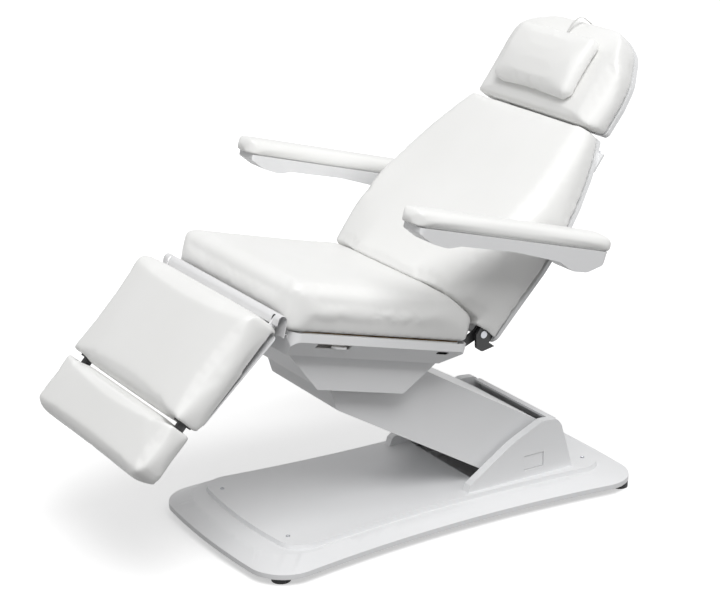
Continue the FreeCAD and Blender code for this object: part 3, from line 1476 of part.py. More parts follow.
def armrest_mounts():
    """The black plates behind the back's edges that carry the armrest pins."""
    py, pz = rest_pivot_in_back()
    y0 = BACK_REAR + SEAT_GAP
    y1 = y0 + PLATE
    inner = BACK_HALF * 0.7
    plate_end = REST_X - REST_HALF - SHEET
    mounts = []
    for side in (-1, 1):
        x0, x1 = sorted((side * inner, side * plate_end))
        arm = box(x0, x1, y0, y1, pz - REST_HUB_RADIUS * 0.8, pz + REST_HUB_RADIUS * 0.8)
        pin_in, pin_out = sorted((side * (plate_end - PLATE), side * (REST_X + REST_HALF * 0.5)))
        cheek_in, cheek_out = sorted((side * (plate_end - PLATE), side * plate_end))
        cheek = across(
            with_radius(
                [
                    (py - REST_HUB_RADIUS * 0.6, pz - REST_HUB_RADIUS * 0.6),
                    (y1, pz - REST_HUB_RADIUS * 0.8),
                    (y1, pz + REST_HUB_RADIUS * 0.8),
                    (py - REST_HUB_RADIUS * 0.6, pz + REST_HUB_RADIUS * 0.6),
                ],
                0,
            ),
            cheek_in,
            cheek_out,
        )
        mounts.append(fused([arm, cheek, rod_x(REST_PIN_RADIUS, pin_in, pin_out, py, pz)]))
    return to_back(Part.makeCompound(mounts))


def headrest_hinge():
    """The rod across the back's top rear edge and the two clips at its ends."""
    z = BACK_LENGTH + HEAD_GAP / 2
    reach = HEAD_ARM_X + PLATE * 2
    deep = HEAD_HINGE_Y + HEAD_HINGE_RADIUS * 1.4
    high = z + HEAD_HINGE_RADIUS * 1.4
    pieces = [rod_x(HEAD_HINGE_RADIUS, -reach, reach, HEAD_HINGE_Y, z)]
    for x0, x1 in ((-reach - PLATE, -reach), (reach, reach + PLATE)):
        pieces.append(box(x0, x1, BACK_REAR + SEAT_GAP, deep, z - BACK_TUBE * 2, high))
    return to_back(fused(pieces))


# Headrest

HEAD_HALF_SHARES = ((0.0, 1.03), (0.3, 1.045), (0.54, 1.01), (0.85, 0.82), (1.0, 0.52))


def head_slab(inset, y0, y1):
    base = BACK_LENGTH + HEAD_GAP
    points = []
    for along, wide in HEAD_HALF_SHARES:
        z = base + inset + (HEAD_LENGTH - inset * 2) * along
        points.append((HEAD_HALF * wide - inset, z, HEAD_HALF * 0.4))
    points[0] = (points[0][0], points[0][1], HEAD_HALF * 0.06)
    wire = rounded_wire(mirrored(points), lambda x, z: Vector(x, y0, z))
    return Part.Face(wire).extrude(Vector(0, y1 - y0, 0))


def headrest_cushion():
    base = BACK_LENGTH + HEAD_GAP
    top = base + HEAD_LENGTH
    rear = BACK_REAR - SEAT_GAP
    relief = HEAD_HINGE_RADIUS * 1.6
    side = [
        (rear - relief, base - OVERRUN, 0),
        (rear, base + relief, 0),
        (rear, top + OVERRUN, 0),
        (HEAD_FRONT * 0.1, top + OVERRUN, 0),
        (-HEAD_FRONT, top - HEAD_LENGTH * 0.2, HEAD_LENGTH * 0.5),
        (-HEAD_FRONT, base + HEAD_FRONT * 0.3, HEAD_FRONT * 0.4),
        (-HEAD_FRONT * 0.7, base - OVERRUN, 0),
    ]
    w = HEAD_HALF * 1.06
    block = across(side, -w, w)
    cross = mirrored(
        [
            (w, BACK_REAR + OVERRUN, 0),
            (w, HEAD_FRONT * 0.2, w * 0.2),
            (w * 0.88, -HEAD_FRONT * 0.9, w * 0.22),
            (w * 0.6, -HEAD_FRONT - OVERRUN, w * 0.6),
        ]
    )
    wire = rounded_wire(cross, lambda x, y: Vector(x, y, base - OVERRUN * 2))
    block = block.common(Part.Face(wire).extrude(Vector(0, 0, HEAD_LENGTH * 1.2)))
    return to_back(block.common(head_slab(0, -HEAD_FRONT - OVERRUN, BACK_REAR + OVERRUN)))


def headrest_panel():
    panel = head_slab(SHELL, BACK_REAR, BACK_REAR + HEAD_PANEL)
    z = BACK_LENGTH + HEAD_GAP / 2
    reach = HEAD_ARM_X + PLATE * 3
    deep = BACK_REAR + HEAD_PANEL + OVERRUN
    notch = box(-reach, reach, BACK_REAR - OVERRUN, deep, z - OVERRUN, z + HEAD_HINGE_RADIUS * 3)
    return to_back(panel.cut(notch))


def headrest_arms():
    """Two short hinge leaves from the headrest panel round the hinge rod."""
    z = BACK_LENGTH + HEAD_GAP / 2
    r = HEAD_HINGE_RADIUS * 1.4
    outline = [
        (BACK_REAR + SHEET, z + HEAD_HINGE_RADIUS * 3, 0),
        (HEAD_HINGE_Y - r, z, 0),
        (HEAD_HINGE_Y - r * 0.6, z - r * 0.9, 0),
        (HEAD_HINGE_Y + r * 0.6, z - r * 0.9, 0),
        (HEAD_HINGE_Y + r, z, 0),
        (BACK_REAR + HEAD_PANEL - SHEET, z + HEAD_HINGE_RADIUS * 3, 0),
    ]
    arms = []
    for side in (-1, 1):
        x = side * HEAD_ARM_X
        leaf = across(outline, x - PLATE / 2, x + PLATE / 2)
        arms.append(leaf.cut(rod_x(HEAD_HINGE_RADIUS + RUN_GAP, x - PLATE, x + PLATE, HEAD_HINGE_Y, z)))
    return to_back(Part.makeCompound(arms))


def pillow():
    """A half-round bolster with soft ends, lying on the headrest's front."""
    z0, z1 = PILLOW_BASE, PILLOW_BASE + PILLOW_LENGTH
    front = -HEAD_FRONT - SEAT_GAP
    d = PILLOW_DEPTH
    side = [
        (front, z0, 0),
        (front, z1, 0),
        (front - d * 0.72, z1 - d * 0.1, d * 0.9),
        (front - d, z0 + PILLOW_LENGTH * 0.52, PILLOW_LENGTH * 0.6),
        (front - d * 0.72, z0 + d * 0.1, d * 0.9),
    ]
    block = across(side, -PILLOW_HALF, PILLOW_HALF)
    cross = mirrored(
        [
            (PILLOW_HALF * 0.97, front + OVERRUN, 0),
            (PILLOW_HALF, front - d * 0.4, d * 0.5),
            (PILLOW_HALF * 0.86, front - d, d * 0.9),
        ]
    )
    wire = rounded_wire(cross, lambda x, y: Vector(x, y, z0 - OVERRUN))
    block = block.common(Part.Face(wire).extrude(Vector(0, 0, PILLOW_LENGTH * 1.2)))
    plan = with_radius([(PILLOW_HALF, z0), (PILLOW_HALF, z1), (-PILLOW_HALF, z1), (-PILLOW_HALF, z0)], d * 0.8)
    wire = rounded_wire(plan, lambda x, z: Vector(x, front - d * 1.2, z))
    return to_back(block.common(Part.Face(wire).extrude(Vector(0, d * 1.4, 0))))


def pillow_strap():
    """The elastic band that loops from the pillow over the headrest's top."""
    half = STRAP_WIDTH / 2
    top = BACK_LENGTH + HEAD_GAP + HEAD_LENGTH
    start = PILLOW_BASE + PILLOW_LENGTH + SEAT_GAP * 5
    end = top - PILLOW_LENGTH
    front, rear = -HEAD_FRONT, BACK_REAR + HEAD_PANEL

    def loop(out, run):
        return [
            (front - out, start - run, 0),
            (front - out, top - HEAD_LENGTH * 0.1, HEAD_FRONT),
            (front * 0.72, top + out, HEAD_FRONT * 0.9),
            (rear + out, top + out, PLATE),
            (rear + out, end - run, 0),
        ]

    outer = across(loop(SEAT_GAP + STRAP_THICK, 0), -half, half)
    return to_back(outer.cut(across(loop(SEAT_GAP, OVERRUN), -STRAP_WIDTH, STRAP_WIDTH)))


def head_lever_pin_place():
    """The lever pin's x and y behind the back's upper left edge, in the back's frame."""
    return HEAD_LEVER_X - HEAD_LEVER_WIDTH / 2, BACK_REAR + HEAD_LEVER_HUB + SEAT_GAP


def headrest_lever():
    """The release lever that stands out at the back's upper left edge."""
    x, y = head_lever_pin_place()
    z0 = HEAD_LEVER_Z - HEAD_LEVER_LENGTH / 2
    z1 = z0 + HEAD_LEVER_LENGTH
    r = HEAD_LEVER_HUB
    tip = HEAD_LEVER_X + HEAD_LEVER_WIDTH / 2
    plan = [
        (x, y - r, 0),
        (tip - r, BACK_REAR + SEAT_GAP, 0),
        (tip, BACK_REAR + SEAT_GAP + SHEET, SHEET),
        (tip, y + r, SHELL),
        (x, y + r, 0),
    ]
    blade = upright(plan, z0, z1)
    lever = fused([blade, rod_z(r, z0, z1, x, y)])
    return to_back(lever.cut(rod_z(LEVER_PIN_RADIUS + RUN_GAP, z0 - OVERRUN, z1 + OVERRUN, x, y)))


def headrest_lever_pin():
    x, y = head_lever_pin_place()
    z0 = HEAD_LEVER_Z - HEAD_LEVER_LENGTH / 2 - SEAT_GAP
    z1 = HEAD_LEVER_Z + HEAD_LEVER_LENGTH / 2 + SEAT_GAP
    r = HEAD_LEVER_HUB
    ends = []
    for low, high in ((z0 - PLATE, z0), (z1, z1 + PLATE)):
        ends.append(box(x - r, x + r, BACK_REAR, y + r, low, high))
    return to_back(fused([rod_z(LEVER_PIN_RADIUS, z0, z1, x, y)] + ends))


# Armrests


def rest_plan(inset):
    half = REST_HALF - inset
    return [
        (REST_X + half, -REST_FRONT + inset, half * 0.9),
        (REST_X + half, REST_REAR - inset, half * 0.7),
        (REST_X - half, REST_REAR - inset, half * 0.7),
        (REST_X - half, -REST_FRONT + inset, half * 0.9),
    ]


def armrest_pad():
    thick = REST_PAD_HIGH - REST_PAD_LOW
    side = [
        (-REST_FRONT + thick * 0.12, REST_PAD_LOW, 0),
        (-REST_FRONT, REST_PAD_LOW + thick * 0.45, thick * 0.4),
        (-REST_FRONT + thick * 0.3, REST_PAD_HIGH, thick * 0.5),
        (REST_REAR - thick * 0.7, REST_PAD_HIGH, thick * 0.8),
        (REST_REAR, REST_PAD_LOW + thick * 0.4, thick * 0.35),
        (REST_REAR - thick * 0.12, REST_PAD_LOW, 0),
    ]
    block = across(side, REST_X - REST_HALF, REST_X + REST_HALF)
    cross = [
        (REST_X + REST_HALF * 0.95, REST_PAD_LOW, 0),
        (REST_X + REST_HALF, REST_PAD_LOW + thick * 0.4, thick * 0.5),
        (REST_X + REST_HALF * 0.86, REST_PAD_HIGH - thick * 0.1, thick * 0.45),
        (REST_X, REST_PAD_HIGH, REST_HALF * 2),
        (REST_X - REST_HALF * 0.86, REST_PAD_HIGH - thick * 0.1, thick * 0.45),
        (REST_X - REST_HALF, REST_PAD_LOW + thick * 0.4, thick * 0.5),
        (REST_X - REST_HALF * 0.95, REST_PAD_LOW, 0),
    ]
    block = block.common(lengthwise(cross, -REST_FRONT - OVERRUN, REST_REAR + OVERRUN))
    return to_rest(block.common(upright(rest_plan(0), 0, REST_PAD_HIGH * 2)))


def armrest_shell():
    """The moulded tray under the pad, with a grip swell in front and the hub at its rear."""
    top = REST_PAD_LOW - SEAT_GAP
    hub = REST_HUB_RADIUS
    side = [
        (-REST_FRONT * 0.955, top, 0),
        (-REST_FRONT * 0.955, top * 0.5, hub * 0.2),
        (-REST_FRONT * 0.87, -hub * 0.2, hub),
        (-REST_FRONT * 0.78, -hub * 0.42, hub * 2),
        (-REST_FRONT * 0.71, -hub * 0.1, hub),
        (-REST_FRONT * 0.4, REST_SHELL_LOW, hub * 8),
        (-hub * 2, -hub * 0.36, hub * 2),
        (-hub * 0.4, -hub * 1.05, hub),
        (hub * 1.2, -hub * 1.0, hub),
        (hub * 2.7, -hub * 0.2, hub * 0.6),
        (REST_REAR * 0.86, top, 0),
    ]
    x0, x1 = REST_X - REST_HALF, REST_X + REST_HALF
    block = across(side, x0, x1)
    cross = [
        (x0 + REST_SHELL_INSET, top, 0),
        (x1 - REST_SHELL_INSET, top, 0),
        (x1 - REST_SHELL_INSET * 1.6, -hub * 1.1, 0),
        (x0 + REST_SHELL_INSET * 1.6, -hub * 1.1, 0),
    ]
    block = block.common(lengthwise(cross, -REST_FRONT, REST_REAR))
    block = block.common(upright(rest_plan(REST_SHELL_INSET), -hub * 2, top))
    bore = rod_x(REST_PIN_RADIUS + RUN_GAP, x0 - OVERRUN, REST_X + REST_HALF / 2 + SHEET, 0, 0)
    return to_rest(block.cut(bore))


def mirror_x(shape):
    return shape.mirror(Vector(0, 0, 0), Vector(1, 0, 0))


def main():
    os.makedirs("parts", exist_ok=True)
    pieces = (
        base_frame,
        base_cover,
        base_top_panel,
        base_tray,
        panel_screws,
        levelling_feet,
        foot_studs,
        hood,
        hood_plates,
        mains_inlet,
        pivot_plates,
        main_pivot_shaft,
        link_pivot_shaft,
        control_box,
        arm_frame,
        arm_shroud,
        parallel_link,
        carrier,
        carrier_shafts,
        seat_frame,
        tilt_shaft,
        seat_board,
        seat_pan,
        hopper_cover,
        seat_cushion,
        knee_cover,
        knee_lugs,
        knee_rod,
        back_hinge_ears,
        back_hinge_pins,
        side_lever,
        side_lever_pin,
        leg_frame,
        leg_cushion,
        leg_back_panel,
        slide_guides,
        slide_rods,
        foot_panel,
        foot_cushion,
        back_frame,
        back_shell,
        back_cushion,
        back_hinge_brackets,
        armrest_mounts,
        headrest_hinge,
        headrest_panel,
        headrest_cushion,
        headrest_arms,
        pillow,
        pillow_strap,
        headrest_lever,
        headrest_lever_pin,
    )
    for piece in pieces:
        save(piece.__name__, piece())
    for name, maker in (("armrest_pad", armrest_pad), ("armrest_shell", armrest_shell)):
        left = maker()
        save(name + "_left", left)
        save(name + "_right", mirror_x(left))


main()
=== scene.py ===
"""Looks of the podiatry chair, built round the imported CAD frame.

Upholstery is grown from its CAD solids by a short cloth simulation. Covers, steel, rubber and
plastic keep their CAD solids with softened edges, and get screws and procedural finishes.
Lengths are metres.
"""

import json
import logging
import math
from collections.abc import Sequence
from dataclasses import dataclass, field
from enum import Enum

import bmesh
import bpy
from mathutils import Matrix, Vector


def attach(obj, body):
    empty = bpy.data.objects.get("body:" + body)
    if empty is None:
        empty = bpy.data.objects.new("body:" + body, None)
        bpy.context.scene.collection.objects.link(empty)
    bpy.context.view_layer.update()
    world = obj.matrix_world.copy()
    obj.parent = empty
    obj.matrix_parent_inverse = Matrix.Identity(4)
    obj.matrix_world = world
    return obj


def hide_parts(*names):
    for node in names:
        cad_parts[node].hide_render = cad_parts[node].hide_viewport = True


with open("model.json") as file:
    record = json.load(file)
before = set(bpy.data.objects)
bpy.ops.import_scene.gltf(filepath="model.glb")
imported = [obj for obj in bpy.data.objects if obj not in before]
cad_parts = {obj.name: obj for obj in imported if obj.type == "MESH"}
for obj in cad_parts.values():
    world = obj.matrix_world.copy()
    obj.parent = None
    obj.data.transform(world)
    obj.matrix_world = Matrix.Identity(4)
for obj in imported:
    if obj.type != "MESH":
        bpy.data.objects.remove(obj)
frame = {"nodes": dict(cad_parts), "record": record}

log = logging.getLogger("podiatry_chair")

MM = 0.001
WHITE = (1.0, 1.0, 1.0, 1.0)

# Directions. The last two are roughly where the rear of a section faces.
X_AXIS = Vector((1.0, 0.0, 0.0))
UP = Vector((0.0, 0.0, 1.0))
BACK_REAR = Vector((0.0, 0.8, -0.6))
LEG_REAR = Vector((0.0, 0.6, -0.8))

# Points of a mesh that lie closer than this are one point.
MERGE = 0.001 * MM
# CAD edges that turn more than this are softened, the covers' ones by this many faces.
EDGE_ANGLE = math.radians(32.0)
COVER_SEGMENTS = 3

# Place of each screw on a panel: across, -1 to 1 of the half width, and upwards, 0 to 1.
Shares = tuple[tuple[float, float], ...]
# Point on a surface and direction out of it.
Spot = tuple[Vector, Vector]
# Lowest and highest corner.
Box = tuple[Vector, Vector]


# Finishes


class Relief(Enum):
    """How a surface's fine relief is made."""

    GRAIN = "embossed leather grain"
    SPARKED = "fine texture of a spark-eroded mould"
    ORANGE_PEEL = "the soft waves of baked powder paint"
    TURNED = "the fine rings and streaks of drawn bar"
    PLIES = "the layers of a peeled board"
    KNIT = "the ribs of a knitted band"


# What the coordinates are multiplied by along X, Y and Z: below 1 draws a relief out that way.
STRETCH = {
    Relief.SPARKED: (1.0, 1.0, 1.0),
    Relief.ORANGE_PEEL: (1.0, 1.0, 1.0),
    Relief.TURNED: (0.06, 1.0, 1.0),
    Relief.KNIT: (1.0, 0.3, 0.3),
}


@dataclass(frozen=True)
class Finish:
    """One procedural finish.

    Attributes:
        name: What the surface is really made of.
        colour: Main colour as an sRGB hex code.
        second: Colour that large soft patches lean towards.
        roughness: Middle roughness of the surface.
        spread: How far the roughness wanders either side of it.
        relief: Kind of fine relief.
        pitch_mm: Distance from one bump to the next, coarser than the real one where that is too
            fine to show.
        depth_mm: Height of the relief.
        patch_mm: Size of the slow patches of colour and roughness.
        metallic: 1 for bare metal, 0 for anything else.
        ior: Refractive index; bare metal keeps the default.
        sheen: Strength of a cloth-like sheen.
        lacquer: Strength of a clear layer on top.
    """

    name: str
    colour: str
    second: str
    roughness: float
    spread: float
    relief: Relief
    pitch_mm: float
    depth_mm: float
    patch_mm: float = 180.0
    metallic: float = 0.0
    ior: float = 1.5
    sheen: float = 0.0
    lacquer: float = 0.0


FINISHES = {
    # PVC leathercloth, embossed by a roller: a satin white whose grain only a low light shows.
    # The real grain is near 0.8 mm; it is drawn at 2.4 mm, the least that shows at this distance.
    # Moulds' and drawn bars' reliefs are really below 0.5 mm, and drawn coarser for the same
    # reason. Orange peel and knit have their real distance.
    "white_vinyl": Finish(
        "embossed_pvc_leathercloth", "#F3F3F2", "#EDEDEB", 0.40, 0.06, Relief.GRAIN, 2.4, 0.05,
        patch_mm=220.0, ior=1.53, sheen=0.04,
    ),
    # Thermoformed ABS from a textured mould: an even, slightly cool white with soft highlights.
    "white_cover": Finish(
        "thermoformed_abs", "#EDEDEE", "#E6E7E8", 0.42, 0.04, Relief.SPARKED, 1.6, 0.03,
        patch_mm=260.0, ior=1.54,
    ),
    # Baked white powder paint on steel: harder and glossier than the covers, with orange peel.
    "painted_steel": Finish(
        "white_powder_paint", "#E6E6E7", "#DDDDDE", 0.32, 0.05, Relief.ORANGE_PEEL, 3.2, 0.05,
        patch_mm=140.0, ior=1.52, lacquer=0.15,
    ),
    # Baked black powder paint: nearly black, with a dull highlight along the edges.
    "black_steel": Finish(
        "black_powder_paint", "#1A1A1B", "#232325", 0.44, 0.07, Relief.ORANGE_PEEL, 2.6, 0.06,
        patch_mm=90.0, ior=1.52, lacquer=0.05,
    ),
    # Zinc plated drawn bar: bluish grey metal, streaked along the drawing.
    "bright_steel": Finish(
        "zinc_plated_bar", "#B7B8BC", "#A3A5AA", 0.30, 0.08, Relief.TURNED, 1.8, 0.02,
        patch_mm=60.0, metallic=1.0,
    ),
    # Moulded rubber of the feet: dark grey and dull, dusty rather than black.
    "black_rubber": Finish(
        "moulded_rubber", "#3C3C3E", "#4A4A4B", 0.74, 0.08, Relief.SPARKED, 1.4, 0.08,
        patch_mm=30.0, ior=1.52,
    ),
    # Glass-filled nylon of guides, inlet and control box: black with a mild, uneven shine.
    "black_plastic": Finish(
        "glass_filled_nylon", "#1D1D1E", "#262628", 0.50, 0.08, Relief.SPARKED, 1.2, 0.04,
        patch_mm=50.0, ior=1.53,
    ),
    # Birch plywood of the seat board: pale brown, clouded by the darker figure of its layers.
    "plywood": Finish(
        "birch_plywood", "#D2B488", "#A98558", 0.62, 0.08, Relief.PLIES, 2.8, 0.10,
        patch_mm=120.0, ior=1.47,
    ),
    # Knitted elastic of the pillow's band: off-white, ribbed, a little fuzzy.
    "elastic": Finish(
        "knitted_elastic", "#DEDEDC", "#CFCFCD", 0.85, 0.05, Relief.KNIT, 2.0, 0.25,
        patch_mm=40.0, sheen=0.25,
    ),
}


def linear(code: str) -> tuple[float, float, float, float]:
    """Turns an sRGB hex code into a linear colour.

    Args:
        code: Colour such as "#E4E4E4".

    Returns:
        Red, green, blue and alpha, linear.
    """
    parts = [int(code[i : i + 2], 16) / 255 for i in (1, 3, 5)]
    low = [c / 12.92 if c <= 0.04045 else ((c + 0.055) / 1.055) ** 2.4 for c in parts]
    return (*low, 1.0)


def add_node(
    tree: bpy.types.NodeTree,
    kind: str,
    settings: dict[str, object],
    links: dict[str, bpy.types.NodeSocket],
) -> bpy.types.Node:
    """Adds a node with its settings and the links that feed it.

    Args:
        tree: Tree to add it to.
        kind: Type of the node, without the "ShaderNode" that all of them start with.
        settings: Values by property or input name; a property is tried first.
        links: Output sockets by the name of the input that they feed.

    Returns:
        The new node.
    """
    node = tree.nodes.new("ShaderNode" + kind)
    for key, value in settings.items():
        if hasattr(node, key):
            setattr(node, key, value)
        else:
            node.inputs[key].default_value = value
    for key, socket in links.items():
        tree.links.new(socket, node.inputs[int(key) if key.isdigit() else key])
    return node


class PaintShop:
    """Makes each finish's material once and hands it out by the record's slot name.

    Attributes:
        patch_detail: Detail of the slow patches.
        bump_strength: Share of the relief's height that the light sees.
        wave_factor: What a wave texture multiplies its scale by.
        fine_detail: Detail of a spark-eroded relief.
        soft_detail: Detail of the other reliefs that a noise makes.
    """

    patch_detail: float = 3.0
    bump_strength: float = 0.6
    wave_factor: float = 20.0
    fine_detail: float = 5.0
    soft_detail: float = 1.5

    def __init__(self) -> None:
        """Starts with nothing made."""
        self.made: dict[str, bpy.types.Material] = {}

    def get(self, slot: str) -> bpy.types.Material:
        """Gives a slot's material, made on first use.

        Args:
            slot: Key in FINISHES.

        Returns:
            The material.
        """
        if slot not in self.made:
            self.made[slot] = self._mix(FINISHES[slot])
        return self.made[slot]

    def _mix(self, finish: Finish) -> bpy.types.Material:
        """Builds a finish's nodes.

        Args:
            finish: What to build.

        Returns:
            The new material.
        """
        material = bpy.data.materials.new(finish.name)
        material.use_nodes = True
        tree = material.node_tree
        shader = tree.nodes["Principled BSDF"]
        where = add_node(tree, "TexCoord", {}, {}).outputs["Object"]
        slow = add_node(
            tree,
            "TexNoise",
            {"Scale": 1.0 / (finish.patch_mm * MM), "Detail": self.patch_detail},
            {"Vector": where},
        )
        fine = self._fine(tree, where, finish)
        # the plies colour a board, and slow patches the rest
        share = fine if finish.relief is Relief.PLIES else slow.outputs["Fac"]
        colour = add_node(tree, "Mix", {"data_type": "RGBA"}, {"Factor": share})
        for socket in colour.inputs:
            if socket.type == "RGBA":
                code = finish.colour if socket.name == "A" else finish.second
                socket.default_value = linear(code)
        mixed = next(socket for socket in colour.outputs if socket.type == "RGBA")
        tree.links.new(mixed, shader.inputs["Base Color"])
        low, high = finish.roughness - finish.spread, finish.roughness + finish.spread
        gloss = add_node(
            tree, "MapRange", {"To Min": low, "To Max": high}, {"Value": slow.outputs["Fac"]}
        )
        tree.links.new(gloss.outputs["Result"], shader.inputs["Roughness"])
        bump = add_node(
            tree,
            "Bump",
            {"Strength": self.bump_strength, "Distance": finish.depth_mm * MM},
            {"Height": fine},
        )
        tree.links.new(bump.outputs["Normal"], shader.inputs["Normal"])
        shader.inputs["Metallic"].default_value = finish.metallic
        shader.inputs["IOR"].default_value = finish.ior
        shader.inputs["Sheen Weight"].default_value = finish.sheen
        shader.inputs["Coat Weight"].default_value = finish.lacquer
        return material

    def _fine(
        self, tree: bpy.types.NodeTree, where: bpy.types.NodeSocket, finish: Finish
    ) -> bpy.types.NodeSocket:
        """Adds the nodes of the fine relief.

        Args:
            tree: Tree of the material.
            where: Object coordinates.
            finish: What is being built.

        Returns:
            The socket with the relief's height.
        """
        pitch = 1.0 / (finish.pitch_mm * MM)
        if finish.relief is Relief.GRAIN:
            cells = add_node(tree, "TexVoronoi", {"Scale": pitch}, {"Vector": where})
            return cells.outputs["Distance"]
        if finish.relief is Relief.PLIES:
            layers = add_node(
                tree,
                "TexWave",
                {
                    "bands_direction": "Z", "Scale": pitch / self.wave_factor,
                    "Distortion": 1.5, "Detail": 2.0,
                },
                {"Vector": where},
            )
            return layers.outputs["Fac"]
        drawn = add_node(
            tree, "Mapping", {"Scale": STRETCH[finish.relief]}, {"Vector": where}
        )
        detail = self.fine_detail if finish.relief is Relief.SPARKED else self.soft_detail
        bumps = add_node(
            tree,
            "TexNoise",
            {"Scale": pitch, "Detail": detail},
            {"Vector": drawn.outputs["Vector"]},
        )
        return bumps.outputs["Fac"]


# Workbench


class Bench:
    """Small steps that every sub-assembly's pieces go through.

    Attributes:
        face_weight: How much the larger of two faces bends the shading of their edge.
    """

    face_weight: int = 50

    def __init__(self, shop: PaintShop) -> None:
        """Keeps the paint shop and the record's slot of each node.

        Args:
            shop: Where materials come from.
        """
        self.shop = shop
        self.slots = {s["node"]: s["material_slot"] for s in frame["record"]["subparts"]}

    @staticmethod
    def take(piece: bpy.types.Object) -> None:
        """Selects one piece alone and makes it active.

        Args:
            piece: The piece.
        """
        bpy.ops.object.select_all(action="DESELECT")
        piece.select_set(True)
        bpy.context.view_layer.objects.active = piece

    def apply(self, piece: bpy.types.Object, kind: str, **settings: object) -> None:
        """Adds a modifier to a piece and applies it.

        Args:
            piece: The piece.
            kind: Type of the modifier.
            settings: Its properties.
        """
        self.take(piece)
        step = piece.modifiers.new(kind.lower(), kind)
        for key, value in settings.items():
            setattr(step, key, value)
        bpy.ops.object.modifier_apply(modifier=step.name)

    def copy_of(self, node: str, name: str) -> bpy.types.Object:
        """Copies a CAD node's mesh into a new object and merges its loose triangles.

        Args:
            node: CAD node.
            name: Name of the new object.

        Returns:
            The new object.
        """
        mesh = bpy.data.meshes.new_from_object(frame["nodes"][node])
        piece = bpy.data.objects.new(name, mesh)
        bpy.context.scene.collection.objects.link(piece)
        work = bmesh.new()
        work.from_mesh(mesh)
        bmesh.ops.remove_doubles(work, verts=work.verts, dist=MERGE)
        work.to_mesh(mesh)
        work.free()
        return piece

    def coat(self, piece: bpy.types.Object, slot: str) -> None:
        """Gives a piece its material all over and smooth shading.

        Args:
            piece: The piece.
            slot: The record's material slot.
        """
        piece.data.materials.clear()
        piece.data.materials.append(self.shop.get(slot))
        for face in piece.data.polygons:
            face.use_smooth = True
            face.material_index = 0

    def deliver(self, piece: bpy.types.Object, body: str, slot: str, replaces: str = "") -> None:
        """Hands a finished new piece to its body.

        Args:
            piece: The piece.
            body: CAD body that it rides on.
            slot: The record's material slot.
            replaces: CAD node that it stands for, if any.
        """
        self.coat(piece, slot)
        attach(piece, body)
        if replaces:
            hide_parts(replaces)
        log.info("%s on %s: %d faces", piece.name, body, len(piece.data.polygons))

    def dress(self, node: str, edge_mm: float = 1.2, segments: int = 2) -> None:
        """Gives a CAD node its finish and softened edges.

        Args:
            node: CAD node.
            edge_mm: Width of the softened edges.
            segments: Faces across them.
        """
        piece = frame["nodes"][node]
        mesh = piece.data
        material = self.shop.get(self.slots[node])
        if not mesh.materials:
            mesh.materials.append(material)
        for index in range(len(mesh.materials)):
            mesh.materials[index] = material
        for face in mesh.polygons:
            face.use_smooth = True
        weld = piece.modifiers.new("weld", "WELD")
        weld.merge_threshold = MERGE
        bevel = piece.modifiers.new("edges", "BEVEL")
        bevel.width = edge_mm * MM
        bevel.segments = segments
        bevel.limit_method = "ANGLE"
        bevel.angle_limit = EDGE_ANGLE
        bevel.use_clamp_overlap = True
        even = piece.modifiers.new("even", "WEIGHTED_NORMAL")
        even.weight = self.face_weight
        even.keep_sharp = False
        log.info("%s dressed in %s", node, material.name)


@dataclass(frozen=True)
class Padding:
    """How a padded piece is grown from its CAD solid.

    Attributes:
        cell_mm: Edge of a remesh cell.
        draw_in_mm: How far the skin starts inside the solid, which the filling swells back.
        cap_mm: The most that a point may move in the simulation.
        pressure: Pressure of the filling.
        smooth: Rounds of smoothing before the skin is fitted to the solid.
        soften: Rounds of smoothing after it, which round the edges.
        fill: How full the piece is, from 0 to 1; not used.
    """

    cell_mm: float = 7.0
    draw_in_mm: float = 1.6
    cap_mm: float = 4.5
    pressure: float = 4.0
    smooth: int = 5
    soften: int = 5
    fill: float = 0.9


